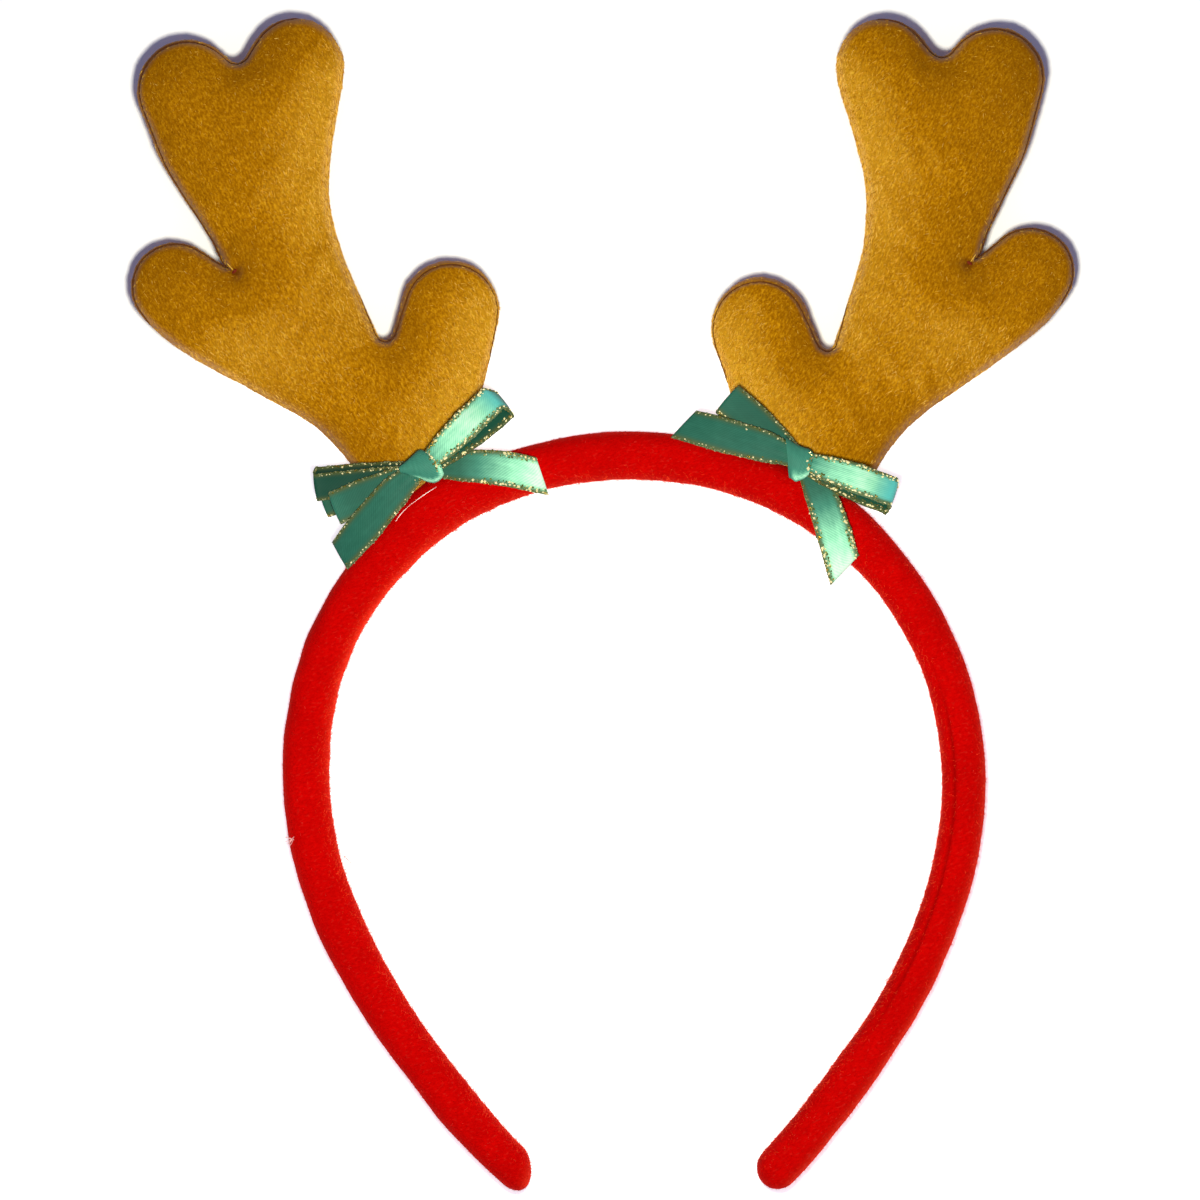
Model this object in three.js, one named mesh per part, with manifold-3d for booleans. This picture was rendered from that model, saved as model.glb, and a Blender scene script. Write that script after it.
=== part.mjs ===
// Reindeer antler headband: a padded felt hoop, two stuffed felt antlers sewn on its crown, and a satin
// ribbon bow tied at the foot of each antler. Millimetres, +Z up; the headband lies flat with its front up,
// +Y runs from the open ends of the hoop to the antler tips, and the table is at z = 0.
import * as THREE from "three";
import { mergeVertices } from "three/addons/utils/BufferGeometryUtils.js";
import Module from "manifold-3d";

const wasm = await Module();
wasm.setup();

// Driving dimensions
const GAP = 0.3; // between pieces that touch
const BAND_WIDTH = 12; // front to back, which is the hoop's height when it lies flat
const BAND_SQUARENESS = 0.8; // below 1 the padded section is fuller than an ellipse
const BAND_SIDES = 16;
const BAND_STEPS = 72;
const HOOP_CENTRE = new THREE.Vector2(6.4, -36.6);
const TIP_ROUND = 4.2; // length over which an end of the hoop rounds off
const TIP_SHEAR = 3; // a slanted end is sheared over this many times that length
const CROWN_SPAN = { from: 0.28, to: 0.72 }; // stretch of the hoop between the antlers' outer sides
const CROWN_STEPS = 32;
const ANTLER_LEVEL = 7.5; // height of the seam that joins the two felt panels
const ANTLER_PUFF = 7.9; // half the thickness at the fullest place, before the belly flattens on the table
const PUFF_POWER = 0.42; // lower keeps the narrow tines fuller
const OUTLINE_STEP = 2.8;
const RIM_INSET = 1.3; // first row of points inside the outline, which rounds the edge
const RIM_CLEAR = 1.1; // a point of that row this close to another stretch of the outline is left out
const GRID_STEP = 4.4;
const FILM_SWEEPS = 220;
const RIBBON_WIDTH = 7;
const RIBBON_PINCH = 4.4; // width where the knot gathers the ribbon
const RIBBON_THICK = 1;
const KNOT_HEIGHT = 6.2;
const KNOT_SIDES = 12;
const LOOP_STEPS = 3; // rings between one station of a loop and the next
const TAIL_STEPS = 4;

// Centre line of the hoop, from the left end over the crown to the right end: turn in degrees from the
// crown, reach from the hoop's centre, pad is the thickness of the padded band seen from the front, which
// is fuller where an antler is sewn on
const BAND_ROWS = [
  { turn: -165, reach: 81.8, pad: 7.8 },
  { turn: -152, reach: 74.1, pad: 8.8 },
  { turn: -140, reach: 69.2, pad: 8.8 },
  { turn: -122, reach: 65.9, pad: 9.3 },
  { turn: -98, reach: 65.7, pad: 9.3 },
  { turn: -62, reach: 67.6, pad: 9.4 },
  { turn: -47, reach: 67.8, pad: 10.1 },
  { turn: -36, reach: 68.3, pad: 11.3 },
  { turn: -22, reach: 66.8, pad: 9.6 },
  { turn: 0, reach: 65.9, pad: 9.6 },
  { turn: 24, reach: 65.9, pad: 9.3 },
  { turn: 38, reach: 66.6, pad: 10.0 },
  { turn: 50, reach: 66.2, pad: 9.0 },
  { turn: 100, reach: 65.7, pad: 8.6 },
  { turn: 118, reach: 66.6, pad: 8.4 },
  { turn: 136, reach: 70.0, pad: 8.4 },
  { turn: 148, reach: 74.5, pad: 8.7 },
  { turn: 162.4, reach: 83.4, pad: 8.2 },
];
const TIP_STEPS = [0.06, 0.2, 0.45, 0.75]; // rings in a rounded end, as shares of its length
const TIP_SLANTS = { left: -0.42, right: 0 }; // shear of each end: below 0 its inner side is cut back

// Antler pattern: a thread drawn anticlockwise round pegs, each with its centre and radius. A negative
// radius is a peg that the thread passes on the other side, as in a notch or a hollow flank.
const ANTLER_PEGS = [
  { place: "foot, inner side", x: 1.5, y: -16, radius: 2 },
  { place: "inner tine", x: 21.3, y: 25.7, radius: 9.8 },
  { place: "inner notch", x: 7.5, y: 25.9, radius: -1.5 },
  { place: "stem, inner flank", x: 48.4, y: 43, radius: -43 },
  { place: "heart, inner lobe", x: 11.1, y: 82.4, radius: 9.5 },
  { place: "heart notch", x: 0.9, y: 88.9, radius: -2 },
  { place: "heart, outer lobe", x: -10.9, y: 86, radius: 10.1 },
  { place: "stem, outer flank", x: 9, y: 76.5, radius: 30 },
  { place: "side notch", x: -17.1, y: 50.4, radius: -0.5 },
  { place: "side tine", x: -27.7, y: 50.4, radius: 9 },
  { place: "side tine, underside", x: -3.6, y: 57.5, radius: 34 },
  { place: "foot, hollow flank", x: -43, y: -4, radius: -35.6 },
  { place: "foot, outer side", x: -4.4, y: -18, radius: 2 },
];
const ANTLERS = [
  { side: "left", hand: 1, x: -40.8, y: 26.4, lean: 22 },
  { side: "right", hand: -1, x: 45, y: 24.4, lean: -15.1 },
];

// Bows, each centred on its knot; axis is the way the knot points, and seat is the height of its underside.
// Headings are in degrees from +X, shift is the sideways distance of a ribbon's line from the knot's centre,
// reach is how far it runs, and heights are above the seat. A loop runs out along its front half to the fold,
// turns over, and comes back along its back half. A tail ends in a slanted cut, and bend is how far its
// middle bows sideways. Roll tilts the ribbon's face.
const BOWS = [
  {
    side: "left",
    x: -35.8,
    y: 26.8,
    seat: 13.95,
    knot: { axis: 18, length: 5.6, across: 6.8 },
    loops: [
      {
        end: "inner",
        front: { heading: 41, shift: 1, reach: 18.2, height: 4.9 },
        back: { heading: 35, shift: 0, reach: 20.2, height: 3 },
        roll: -32,
      },
      {
        end: "outer",
        front: { heading: 204, shift: 0, reach: 19, height: 2.2 },
        back: { heading: 184, shift: 2, reach: 21.6, height: 0.7 },
        roll: 0,
      },
    ],
    tails: [
      {
        end: "inner",
        line: { heading: -5, shift: 0.3, reach: 23.6, bend: 0.9 },
        high: 0.7,
        low: -0.8,
        roll: 8,
        slant: -0.46,
      },
      {
        end: "outer",
        line: { heading: 229.5, shift: -1.3, reach: 24.3, bend: 0 },
        high: 5.25,
        low: 3.2,
        roll: 32,
        slant: 0.3,
      },
    ],
  },
  {
    side: "right",
    x: 39.2,
    y: 28,
    seat: 14.35,
    knot: { axis: -15, length: 5.4, across: 7.6 },
    loops: [
      {
        end: "outer",
        front: { heading: -22, shift: 1.2, reach: 18.2, height: 4.9 },
        back: { heading: -26, shift: 0.6, reach: 20, height: 3 },
        roll: -32,
      },
      {
        end: "inner",
        front: { heading: 141, shift: -0.6, reach: 18.4, height: 2.3 },
        back: { heading: 144, shift: -0.6, reach: 19, height: 0.7 },
        roll: 0,
      },
    ],
    tails: [
      {
        end: "outer",
        line: { heading: -71, shift: 1.2, reach: 23.4, bend: 0.4 },
        high: 0.7,
        low: -1.3,
        roll: 0,
        slant: -0.56,
      },
      {
        end: "inner",
        line: { heading: 164.5, shift: -0.9, reach: 24.5, bend: 0 },
        high: 5.25,
        low: 3.4,
        roll: 20,
        slant: 0.5,
      },
    ],
  },
];

// A loop from the knot out along its front half and back: share of that half's reach, sway as a share of
// its shift, lift in millimetres, fold as a share of the height between the halves, twist of the roll
const LOOP_STATIONS = [
  { half: "front", share: 0.04, sway: 0.5, lift: -0.2, fold: 0, twist: 0, width: RIBBON_PINCH },
  { half: "front", share: 0.3, sway: 1, lift: 0.1, fold: 0, twist: 0.5, width: RIBBON_PINCH + 1.4 },
  { half: "front", share: 0.7, sway: 1, lift: 0.3, fold: 0, twist: 1, width: RIBBON_WIDTH },
  { half: "front", share: 1, sway: 1, lift: 0, fold: 0, twist: 1, width: RIBBON_WIDTH },
  { half: "back", share: 1, sway: 1, lift: 0, fold: 0.5, twist: 1, width: RIBBON_WIDTH },
  { half: "back", share: 0.85, sway: 1, lift: 0, fold: 0, twist: 1, width: RIBBON_WIDTH },
  { half: "back", share: 0.5, sway: 1, lift: 0, fold: 0, twist: 0.5, width: RIBBON_WIDTH },
  { half: "back", share: 0.04, sway: 0.5, lift: 0, fold: 0, twist: 0, width: RIBBON_PINCH },
];
// A tail from the knot to its cut end: fall is the share of the way from its high end to its low one
const TAIL_STATIONS = [
  { share: 0.03, sway: 0.5, bow: 0, fall: 0, twist: 0, width: RIBBON_PINCH },
  { share: 0.3, sway: 1, bow: 0.8, fall: 0, twist: 0.2, width: RIBBON_WIDTH - 0.4 },
  { share: 0.65, sway: 1, bow: 1, fall: 0.2, twist: 0.33, width: RIBBON_WIDTH },
  { share: 1, sway: 1, bow: 0, fall: 1, twist: 1, width: RIBBON_WIDTH },
];
// A knot along its axis, from -1 to 1, and its girth there
const KNOT_ROWS = [
  { at: -1, size: 0.78 },
  { at: -0.7, size: 0.95 },
  { at: 0, size: 1 },
  { at: 0.7, size: 0.95 },
  { at: 1, size: 0.78 },
];

const RED_FELT = new THREE.MeshStandardMaterial({ color: "#cf0a06", roughness: 0.95, metalness: 0 });
const BROWN_FELT = new THREE.MeshStandardMaterial({ color: "#b47c14", roughness: 0.95, metalness: 0 });
const GREEN_SATIN = new THREE.MeshStandardMaterial({ color: "#3f9a7b", roughness: 0.4, metalness: 0 });

// Helpers

const lerp = THREE.MathUtils.lerp;
const radians = THREE.MathUtils.degToRad;

function surface(points, indices) {
  const geometry = new THREE.BufferGeometry().setFromPoints(points);
  geometry.setIndex(indices);
  return geometry;
}

// A closed skin through rings of points that run anticlockwise about the path, with a flat fan at each end.
function loft(rings) {
  const sides = rings[0].length;
  const last = (rings.length - 1) * sides;
  const indices = [];
  for (let row = 0; row < last; row += sides) {
    for (let side = 0; side < sides; side++) {
      const a = row + side;
      const b = row + ((side + 1) % sides);
      indices.push(a, b, b + sides, a, b + sides, a + sides);
    }
  }
  for (let side = 1; side < sides - 1; side++) {
    indices.push(0, side + 1, side, last, last + side, last + side + 1);
  }
  return surface(rings.flat(), indices);
}

function solidOf(geometry) {
  const bare = geometry.clone();
  bare.deleteAttribute("normal");
  bare.deleteAttribute("uv");
  const merged = mergeVertices(bare);
  const vertProperties = new Float32Array(merged.attributes.position.array);
  const triVerts = new Uint32Array(merged.index.array);
  return new wasm.Manifold(new wasm.Mesh({ numProp: 3, vertProperties, triVerts }));
}

// A geometry with the given cutters taken away.
function cut(geometry, cutters) {
  const left = cutters.reduce((solid, cutter) => solid.subtract(solidOf(cutter)), solidOf(geometry));
  const mesh = left.getMesh();
  const made = new THREE.BufferGeometry();
  made.setAttribute("position", new THREE.BufferAttribute(mesh.vertProperties, 3));
  made.setIndex(new THREE.BufferAttribute(mesh.triVerts, 1));
  return made;
}

function named(name, geometry, material) {
  geometry.computeVertexNormals();
  const mesh = new THREE.Mesh(geometry, material);
  mesh.name = name;
  return mesh;
}

// A rounded section: fuller than an ellipse, with a flat edge at the top and at the bottom.
function paddedSection(sides, halfAcross, halfHigh) {
  const full = Math.sin(Math.PI / 2 - Math.PI / sides) ** BAND_SQUARENESS;
  return Array.from({ length: sides }, (_, side) => {
    const angle = ((side + 0.5) / sides) * 2 * Math.PI;
    const across = Math.sign(Math.cos(angle)) * Math.abs(Math.cos(angle)) ** BAND_SQUARENESS;
    const high = Math.sign(Math.sin(angle)) * Math.abs(Math.sin(angle)) ** BAND_SQUARENESS;
    return { across: halfAcross * across, high: (halfHigh * high) / full };
  });
}

// Hoop

// Centre line of the hoop: turn, reach and pad run smoothly through the rows.
class HoopLine extends THREE.Curve {
  rows = new THREE.CatmullRomCurve3(
    BAND_ROWS.map(({ turn, reach, pad }) => new THREE.Vector3(turn, reach, pad)),
  );

  getPoint(part, target = new THREE.Vector3()) {
    const { x: turn, y: reach } = this.rows.getPoint(part);
    const angle = radians(90 - turn);
    const x = HOOP_CENTRE.x + reach * Math.cos(angle);
    const y = HOOP_CENTRE.y + reach * Math.sin(angle);
    return target.set(x, y, BAND_WIDTH / 2);
  }

  padAt(share) {
    return this.rows.getPoint(this.getUtoTmapping(share)).z;
  }
}

const hoopLine = new HoopLine();

// One ring of the hoop; scale shrinks it and slant shears it where an end rounds off.
function bandRing(share, scale, slant, grow) {
  const along = hoopLine.getTangentAt(share);
  const out = new THREE.Vector3(-along.y, along.x, 0);
  const middle = hoopLine.getPointAt(share);
  const halfPad = (hoopLine.padAt(share) / 2) * scale + grow;
  const halfWidth = (BAND_WIDTH / 2) * scale + grow;
  return paddedSection(BAND_SIDES, halfPad, halfWidth).map(({ across, high }) =>
    middle
      .clone()
      .addScaledVector(out, across)
      .addScaledVector(along, across * slant)
      .add(new THREE.Vector3(0, 0, high)),
  );
}

function bandGeometry(grow) {
  const round = TIP_ROUND / hoopLine.getLength();
  // Each end shrinks along a quarter circle.
  const tip = TIP_STEPS.map((step) => ({ share: step * round, scale: Math.sqrt(1 - (1 - step) ** 2) }));
  const body = Array.from({ length: BAND_STEPS + 1 }, (_, step) => ({
    share: lerp(round, 1 - round, step / BAND_STEPS),
    scale: 1,
  }));
  const farTip = tip.map(({ share, scale }) => ({ share: 1 - share, scale })).reverse();
  const rings = [...tip, ...body, ...farTip].map(({ share, scale }) => {
    const near = Math.max(0, 1 - Math.min(share, 1 - share) / (TIP_SHEAR * round));
    const slant = share < 0.5 ? TIP_SLANTS.left : TIP_SLANTS.right;
    return bandRing(share, scale, slant * near, grow);
  });
  return loft(rings);
}

// All that lies inside the crown's outer side, through the full height: the antlers' feet end there.
function crownCore() {
  const rim = Array.from({ length: CROWN_STEPS + 1 }, (_, step) => {
    const share = lerp(CROWN_SPAN.from, CROWN_SPAN.to, step / CROWN_STEPS);
    const { x, y } = hoopLine.getPointAt(share);
    const along = hoopLine.getTangentAt(share);
    const side = hoopLine.padAt(share) / 2;
    return new THREE.Vector2(x - along.y * side, y + along.x * side);
  });
  const outline = new THREE.Shape(rim);
  const depth = 3 * BAND_WIDTH;
  return new THREE.ExtrudeGeometry(outline, { depth, bevelEnabled: false }).translate(0, 0, -BAND_WIDTH);
}

// Antlers

// The thread from one peg to the next touches both at points that share one normal.
function threadNormal(from, to) {
  const run = new THREE.Vector2(to.x - from.x, to.y - from.y);
  return run.angle() - Math.acos((from.radius - to.radius) / run.length());
}

function antlerOutline() {
  const points = [];
  const count = ANTLER_PEGS.length;
  ANTLER_PEGS.forEach((peg, index) => {
    const next = ANTLER_PEGS[(index + 1) % count];
    const arrive = threadNormal(ANTLER_PEGS[(index + count - 1) % count], peg);
    const leave = threadNormal(peg, next);
    const whole = 2 * Math.PI * Math.sign(peg.radius);
    const sweep = (leave - arrive) % whole;
    const turn = sweep * whole < 0 ? sweep + whole : sweep;
    const touch = (to, angle) =>
      new THREE.Vector2(to.x + to.radius * Math.cos(angle), to.y + to.radius * Math.sin(angle));
    const arcSteps = Math.max(2, Math.ceil(Math.abs(turn * peg.radius) / OUTLINE_STEP));
    for (let step = 0; step < arcSteps; step++) {
      points.push(touch(peg, arrive + (turn * step) / arcSteps));
    }
    const start = touch(peg, leave);
    const end = touch(next, leave);
    const lineSteps = Math.max(1, Math.round(start.distanceTo(end) / OUTLINE_STEP));
    for (let step = 0; step < lineSteps; step++) {
      points.push(start.clone().lerp(end, step / lineSteps));
    }
  });
  return points;
}

function isInside(point, outline) {
  let inside = false;
  outline.forEach((a, index) => {
    const b = outline[(index + 1) % outline.length];
    const crosses = a.y > point.y !== b.y > point.y;
    if (crosses && point.x < a.x + ((point.y - a.y) / (b.y - a.y)) * (b.x - a.x)) inside = !inside;
  });
  return inside;
}

function distanceTo(outline, point) {
  const segment = new THREE.Line3();
  const nearest = new THREE.Vector3();
  const flat = new THREE.Vector3(point.x, point.y, 0);
  return Math.min(
    ...outline.map((a, index) => {
      const b = outline[(index + 1) % outline.length];
      segment.start.set(a.x, a.y, 0);
      segment.end.set(b.x, b.y, 0);
      return segment.closestPointToPoint(flat, true, nearest).distanceTo(flat);
    }),
  );
}

// Points inside the outline: one row close to the rim, then a triangular grid.
function innerPoints(outline) {
  const rim = outline.map((point, index) => {
    const before = outline[(index + outline.length - 1) % outline.length];
    const after = outline[(index + 1) % outline.length];
    const along = after.clone().sub(before).normalize();
    return new THREE.Vector2(point.x - along.y * RIM_INSET, point.y + along.x * RIM_INSET);
  });
  const points = [];
  for (const point of rim) {
    const spaced = points.every((other) => other.distanceTo(point) > RIM_INSET);
    const clear = isInside(point, outline) && distanceTo(outline, point) > RIM_CLEAR;
    if (spaced && clear) points.push(point);
  }
  const box = new THREE.Box2().setFromPoints(outline);
  const rise = GRID_STEP * Math.sqrt(0.75);
  for (let row = 0, y = box.min.y; y < box.max.y; row++, y += rise) {
    for (let x = box.min.x + (row % 2) * (GRID_STEP / 2); x < box.max.x; x += GRID_STEP) {
      const point = new THREE.Vector2(x, y);
      const clear = isInside(point, outline) && distanceTo(outline, point) > RIM_INSET + GRID_STEP / 2;
      if (clear) points.push(point);
    }
  }
  return points;
}

// Delaunay triangles: each new point replaces the triangles whose circle holds it.
function triangulate(points) {
  const far = 1e4;
  const frame = [[-far, -far], [far, -far], [0, far]].map(([x, y]) => new THREE.Vector2(x, y));
  const all = [...points, ...frame];
  const corner = (a, b, c) => {
    const [p, q, r] = [all[a], all[b], all[c]];
    const twice = 2 * ((q.x - p.x) * (r.y - p.y) - (q.y - p.y) * (r.x - p.x));
    const ql = q.distanceToSquared(p);
    const rl = r.distanceToSquared(p);
    const centre = new THREE.Vector2(
      p.x + ((r.y - p.y) * ql - (q.y - p.y) * rl) / twice,
      p.y + ((q.x - p.x) * rl - (r.x - p.x) * ql) / twice,
    );
    return { corners: [a, b, c], centre, reach: centre.distanceToSquared(p) };
  };
  let triangles = [corner(points.length, points.length + 1, points.length + 2)];
  points.forEach((point, index) => {
    const rim = new Map();
    const kept = [];
    for (const triangle of triangles) {
      if (triangle.centre.distanceToSquared(point) >= triangle.reach) {
        kept.push(triangle);
        continue;
      }
      triangle.corners.forEach((a, side) => {
        const b = triangle.corners[(side + 1) % 3];
        if (!rim.delete(`${b},${a}`)) rim.set(`${a},${b}`, [a, b]);
      });
    }
    triangles = kept.concat([...rim.values()].map(([a, b]) => corner(a, b, index)));
  });
  return triangles.map(({ corners }) => corners).filter((corners) => Math.max(...corners) < points.length);
}

// Height of a soap film that spans the outline and is blown up evenly: zero on the rim, smooth inside.
function filmHeights(points, triangles, rimCount) {
  const links = points.map(() => new Map());
  const areas = points.map(() => 0);
  for (const triangle of triangles) {
    triangle.forEach((tip, side) => {
      const a = triangle[(side + 1) % 3];
      const b = triangle[(side + 2) % 3];
      const toA = points[a].clone().sub(points[tip]);
      const toB = points[b].clone().sub(points[tip]);
      const cross = toA.cross(toB);
      const pull = toA.dot(toB) / cross / 2;
      links[a].set(b, (links[a].get(b) ?? 0) + pull);
      links[b].set(a, (links[b].get(a) ?? 0) + pull);
      areas[tip] += cross / 6;
    });
  }
  const heights = points.map(() => 0);
  for (let sweep = 0; sweep < FILM_SWEEPS; sweep++) {
    for (let index = rimCount; index < points.length; index++) {
      let weight = 0;
      let sum = areas[index];
      links[index].forEach((pull, other) => {
        weight += pull;
        sum += pull * heights[other];
      });
      heights[index] = sum / weight;
    }
  }
  return heights;
}

// Two felt panels sewn along the outline and stuffed; the lower one is flat where it meets the table.
function antlerGeometry(hand) {
  const outline = antlerOutline();
  const points = [...outline, ...innerPoints(outline)];
  const middle = ([a, b, c]) => points[a].clone().add(points[b]).add(points[c]).divideScalar(3);
  const triangles = triangulate(points).filter((corners) => isInside(middle(corners), outline));
  const film = filmHeights(points, triangles, outline.length);
  const fullest = Math.max(...film);
  const puff = film.map((height) => ANTLER_PUFF * (height / fullest) ** PUFF_POWER);
  const panel = (heightOf) =>
    points.map(({ x, y }, index) => new THREE.Vector3(hand * x, y, heightOf(puff[index])));
  const upper = panel((depth) => ANTLER_LEVEL + depth);
  const lower = panel((depth) => Math.max(0, ANTLER_LEVEL - depth));
  const under = (index) => (index < outline.length ? index : index + points.length);
  const indices = triangles.flatMap(([a, b, c]) => [a, b, c, under(a), under(c), under(b)]);
  if (hand < 0) indices.reverse();
  return surface([...upper, ...lower], indices);
}

// Bows

// A place along a ribbon: the middle of the ribbon there, the way across it, and its width.
function station(heading, reach, shift, height, roll, width) {
  const angle = radians(heading);
  return {
    middle: new THREE.Vector3(
      reach * Math.cos(angle) - shift * Math.sin(angle),
      reach * Math.sin(angle) + shift * Math.cos(angle),
      height,
    ),
    across: new THREE.Vector3(
      -Math.sin(angle) * Math.cos(radians(roll)),
      Math.cos(angle) * Math.cos(radians(roll)),
      Math.sin(radians(roll)),
    ),
    width,
  };
}

// A ribbon through its stations, with steps rings between one station and the next; slant shears the far end.
function ribbonGeometry(stations, steps, slant) {
  const line = new THREE.CatmullRomCurve3(stations.map(({ middle }) => middle));
  const count = (stations.length - 1) * steps;
  const rings = Array.from({ length: count + 1 }, (_, index) => {
    const share = index / count;
    const from = Math.min(Math.floor(index / steps), stations.length - 2);
    const part = index / steps - from;
    const along = line.getTangent(share);
    const across = stations[from].across.clone().lerp(stations[from + 1].across, part);
    across.addScaledVector(along, -across.dot(along)).normalize();
    const face = along.clone().cross(across);
    const half = lerp(stations[from].width, stations[from + 1].width, part) / 2;
    const shear = share === 1 ? slant : 0;
    return [[-1, -1], [1, -1], [1, 1], [-1, 1]].map(([edge, side]) =>
      line
        .getPoint(share)
        .addScaledVector(across, edge * half)
        .addScaledVector(along, edge * half * shear)
        .addScaledVector(face, (side * RIBBON_THICK) / 2),
    );
  });
  return loft(rings);
}

function loopGeometry({ front, back, roll }) {
  const halves = { front, back };
  const foldHeight = front.height - back.height;
  const stations = LOOP_STATIONS.map(({ half, share, sway, lift, fold, twist, width }) => {
    const { heading, reach, shift, height } = halves[half];
    const raised = height + lift + fold * foldHeight;
    return station(heading, reach * share, shift * sway, raised, roll * twist, width);
  });
  return ribbonGeometry(stations, LOOP_STEPS, 0);
}

function tailGeometry({ line, high, low, roll, slant }) {
  const { heading, shift, reach, bend } = line;
  const stations = TAIL_STATIONS.map(({ share, sway, bow, fall, twist, width }) =>
    station(heading, reach * share, shift * sway + bend * bow, lerp(high, low, fall), roll * twist, width),
  );
  return ribbonGeometry(stations, TAIL_STEPS, slant);
}

// The ribbon wrapped round the middle of a bow; grow makes it larger all round, to cut what it gathers.
function knotGeometry({ axis, length, across }, grow) {
  const along = new THREE.Vector3(Math.cos(radians(axis)), Math.sin(radians(axis)), 0);
  const side = new THREE.Vector3(-along.y, along.x, 0);
  const rings = KNOT_ROWS.map(({ at, size }) =>
    paddedSection(KNOT_SIDES, (across / 2) * size + grow, (KNOT_HEIGHT / 2) * size + grow).map((point) =>
      new THREE.Vector3(0, 0, KNOT_HEIGHT / 2 + point.high)
        .addScaledVector(along, at * (length / 2 + grow))
        .addScaledVector(side, point.across),
    ),
  );
  return loft(rings);
}

// Assembly

const headband = new THREE.Group();
headband.add(named("band", bandGeometry(0), RED_FELT));

const hoopCutters = [bandGeometry(GAP), crownCore()];
for (const { side, hand, x, y, lean } of ANTLERS) {
  const place = new THREE.Group();
  place.position.set(x, y, 0);
  place.rotation.z = radians(lean);
  place.updateMatrix();
  const back = place.matrix.clone().invert();
  const cutters = hoopCutters.map((cutter) => cutter.clone().applyMatrix4(back));
  place.add(named(`antler_${side}`, cut(antlerGeometry(hand), cutters), BROWN_FELT));
  headband.add(place);
}

for (const { side, x, y, seat, knot, loops, tails } of BOWS) {
  const bow = new THREE.Group();
  bow.position.set(x, y, seat);
  const clear = [knotGeometry(knot, GAP)];
  bow.add(named(`bow_${side}_knot`, knotGeometry(knot, 0), GREEN_SATIN));
  for (const loop of loops) {
    bow.add(named(`bow_${side}_loop_${loop.end}`, cut(loopGeometry(loop), clear), GREEN_SATIN));
  }
  for (const tail of tails) {
    bow.add(named(`bow_${side}_tail_${tail.end}`, cut(tailGeometry(tail), clear), GREEN_SATIN));
  }
  headband.add(bow);
}

export default headband;
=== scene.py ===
import bmesh
import bpy
import numpy as np
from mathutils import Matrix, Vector
from mathutils.bvhtree import BVHTree


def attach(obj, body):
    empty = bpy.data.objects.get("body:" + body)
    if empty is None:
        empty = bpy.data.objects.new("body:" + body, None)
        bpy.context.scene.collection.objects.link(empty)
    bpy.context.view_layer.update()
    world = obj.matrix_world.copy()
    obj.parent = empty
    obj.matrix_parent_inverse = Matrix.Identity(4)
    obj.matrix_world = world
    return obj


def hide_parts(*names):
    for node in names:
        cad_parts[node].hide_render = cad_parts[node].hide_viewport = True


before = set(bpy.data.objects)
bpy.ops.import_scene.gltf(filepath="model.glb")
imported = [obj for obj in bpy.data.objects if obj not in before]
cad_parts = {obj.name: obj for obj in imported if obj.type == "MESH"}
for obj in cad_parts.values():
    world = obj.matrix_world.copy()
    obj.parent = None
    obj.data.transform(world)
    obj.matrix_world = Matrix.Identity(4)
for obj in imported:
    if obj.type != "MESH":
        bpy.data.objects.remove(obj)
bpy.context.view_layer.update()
mm = 0.001
print("frame loaded:", len(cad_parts), "nodes")


# Tools for arrays and meshes

def unit(vectors):
    return vectors / np.maximum(np.linalg.norm(vectors, axis=-1, keepdims=True), 1e-12)


# Length along a line up to each of its points.
def runAlong(line):
    return np.concatenate([[0], np.cumsum(np.linalg.norm(np.diff(line, axis=0), axis=1))])


# Each column of rows, read at the places s along their run.
def readAlong(s, run, rows):
    return np.stack([np.interp(s, run, column) for column in rows.T], 1)


# Smooth curve through rows of numbers: a cubic on each span whose end slopes come from the neighbouring
# rows, with the spans weighted by the square root of their length.
def curveThrough(rows, steps):
    rows = np.asarray(rows, float)
    padded = np.vstack([2 * rows[0] - rows[1], rows, 2 * rows[-1] - rows[-2]])
    place = np.linspace(0, len(rows) - 1, (len(rows) - 1) * steps + 1)
    span = np.minimum(place.astype(int), len(rows) - 2)
    t = (place - span)[:, None]
    a, b, c, d = (padded[span + k] for k in range(4))
    before, here, after = (np.sqrt(np.linalg.norm(q - p, axis=1))[:, None]
                           for p, q in ((a, b), (b, c), (c, d)))
    leave = ((b - a) / before - (c - a) / (before + here) + (c - b) / here) * here
    arrive = ((c - b) / here - (d - b) / (here + after) + (d - c) / after) * here
    return b + leave * t + (3 * (c - b) - 2 * leave - arrive) * t**2 + (2 * (b - c) + leave + arrive) * t**3


# Gentle unevenness: a sum of plane waves with random directions and phases, about 1 high.
def unevenness(places, wavelength, seed, waves=14):
    random = np.random.default_rng(seed)
    ways = unit(random.normal(size=(waves, places.shape[-1])))
    lengths = wavelength * random.uniform(0.6, 1.6, waves)
    turns = places @ (ways * (2 * np.pi / lengths)[:, None]).T + random.uniform(0, 2 * np.pi, waves)
    return np.sin(turns).sum(-1) / np.sqrt(waves / 2)


# Lumps of several sizes, in rows of height, wavelength and seed.
def lumpiness(places, rows):
    return sum(height * unevenness(places, wavelength, seed) for height, wavelength, seed in rows)


# A round bell: 1 in the middle, falling off over the spread.
def bell(distance, spread):
    return np.exp(-((distance / spread) ** 2))


# From 0 at the start to 1 past the span; a span below 0 runs the other way.
def rise(values, start, span):
    return np.clip((values - start) / span, 0, 1)


# Cosine and sine raised to a power below 1, which makes a circle squarer.
def squaredCircle(angles, power):
    return np.stack([np.sign(f) * np.abs(f) ** power for f in (np.cos(angles), np.sin(angles))], 1)


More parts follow.
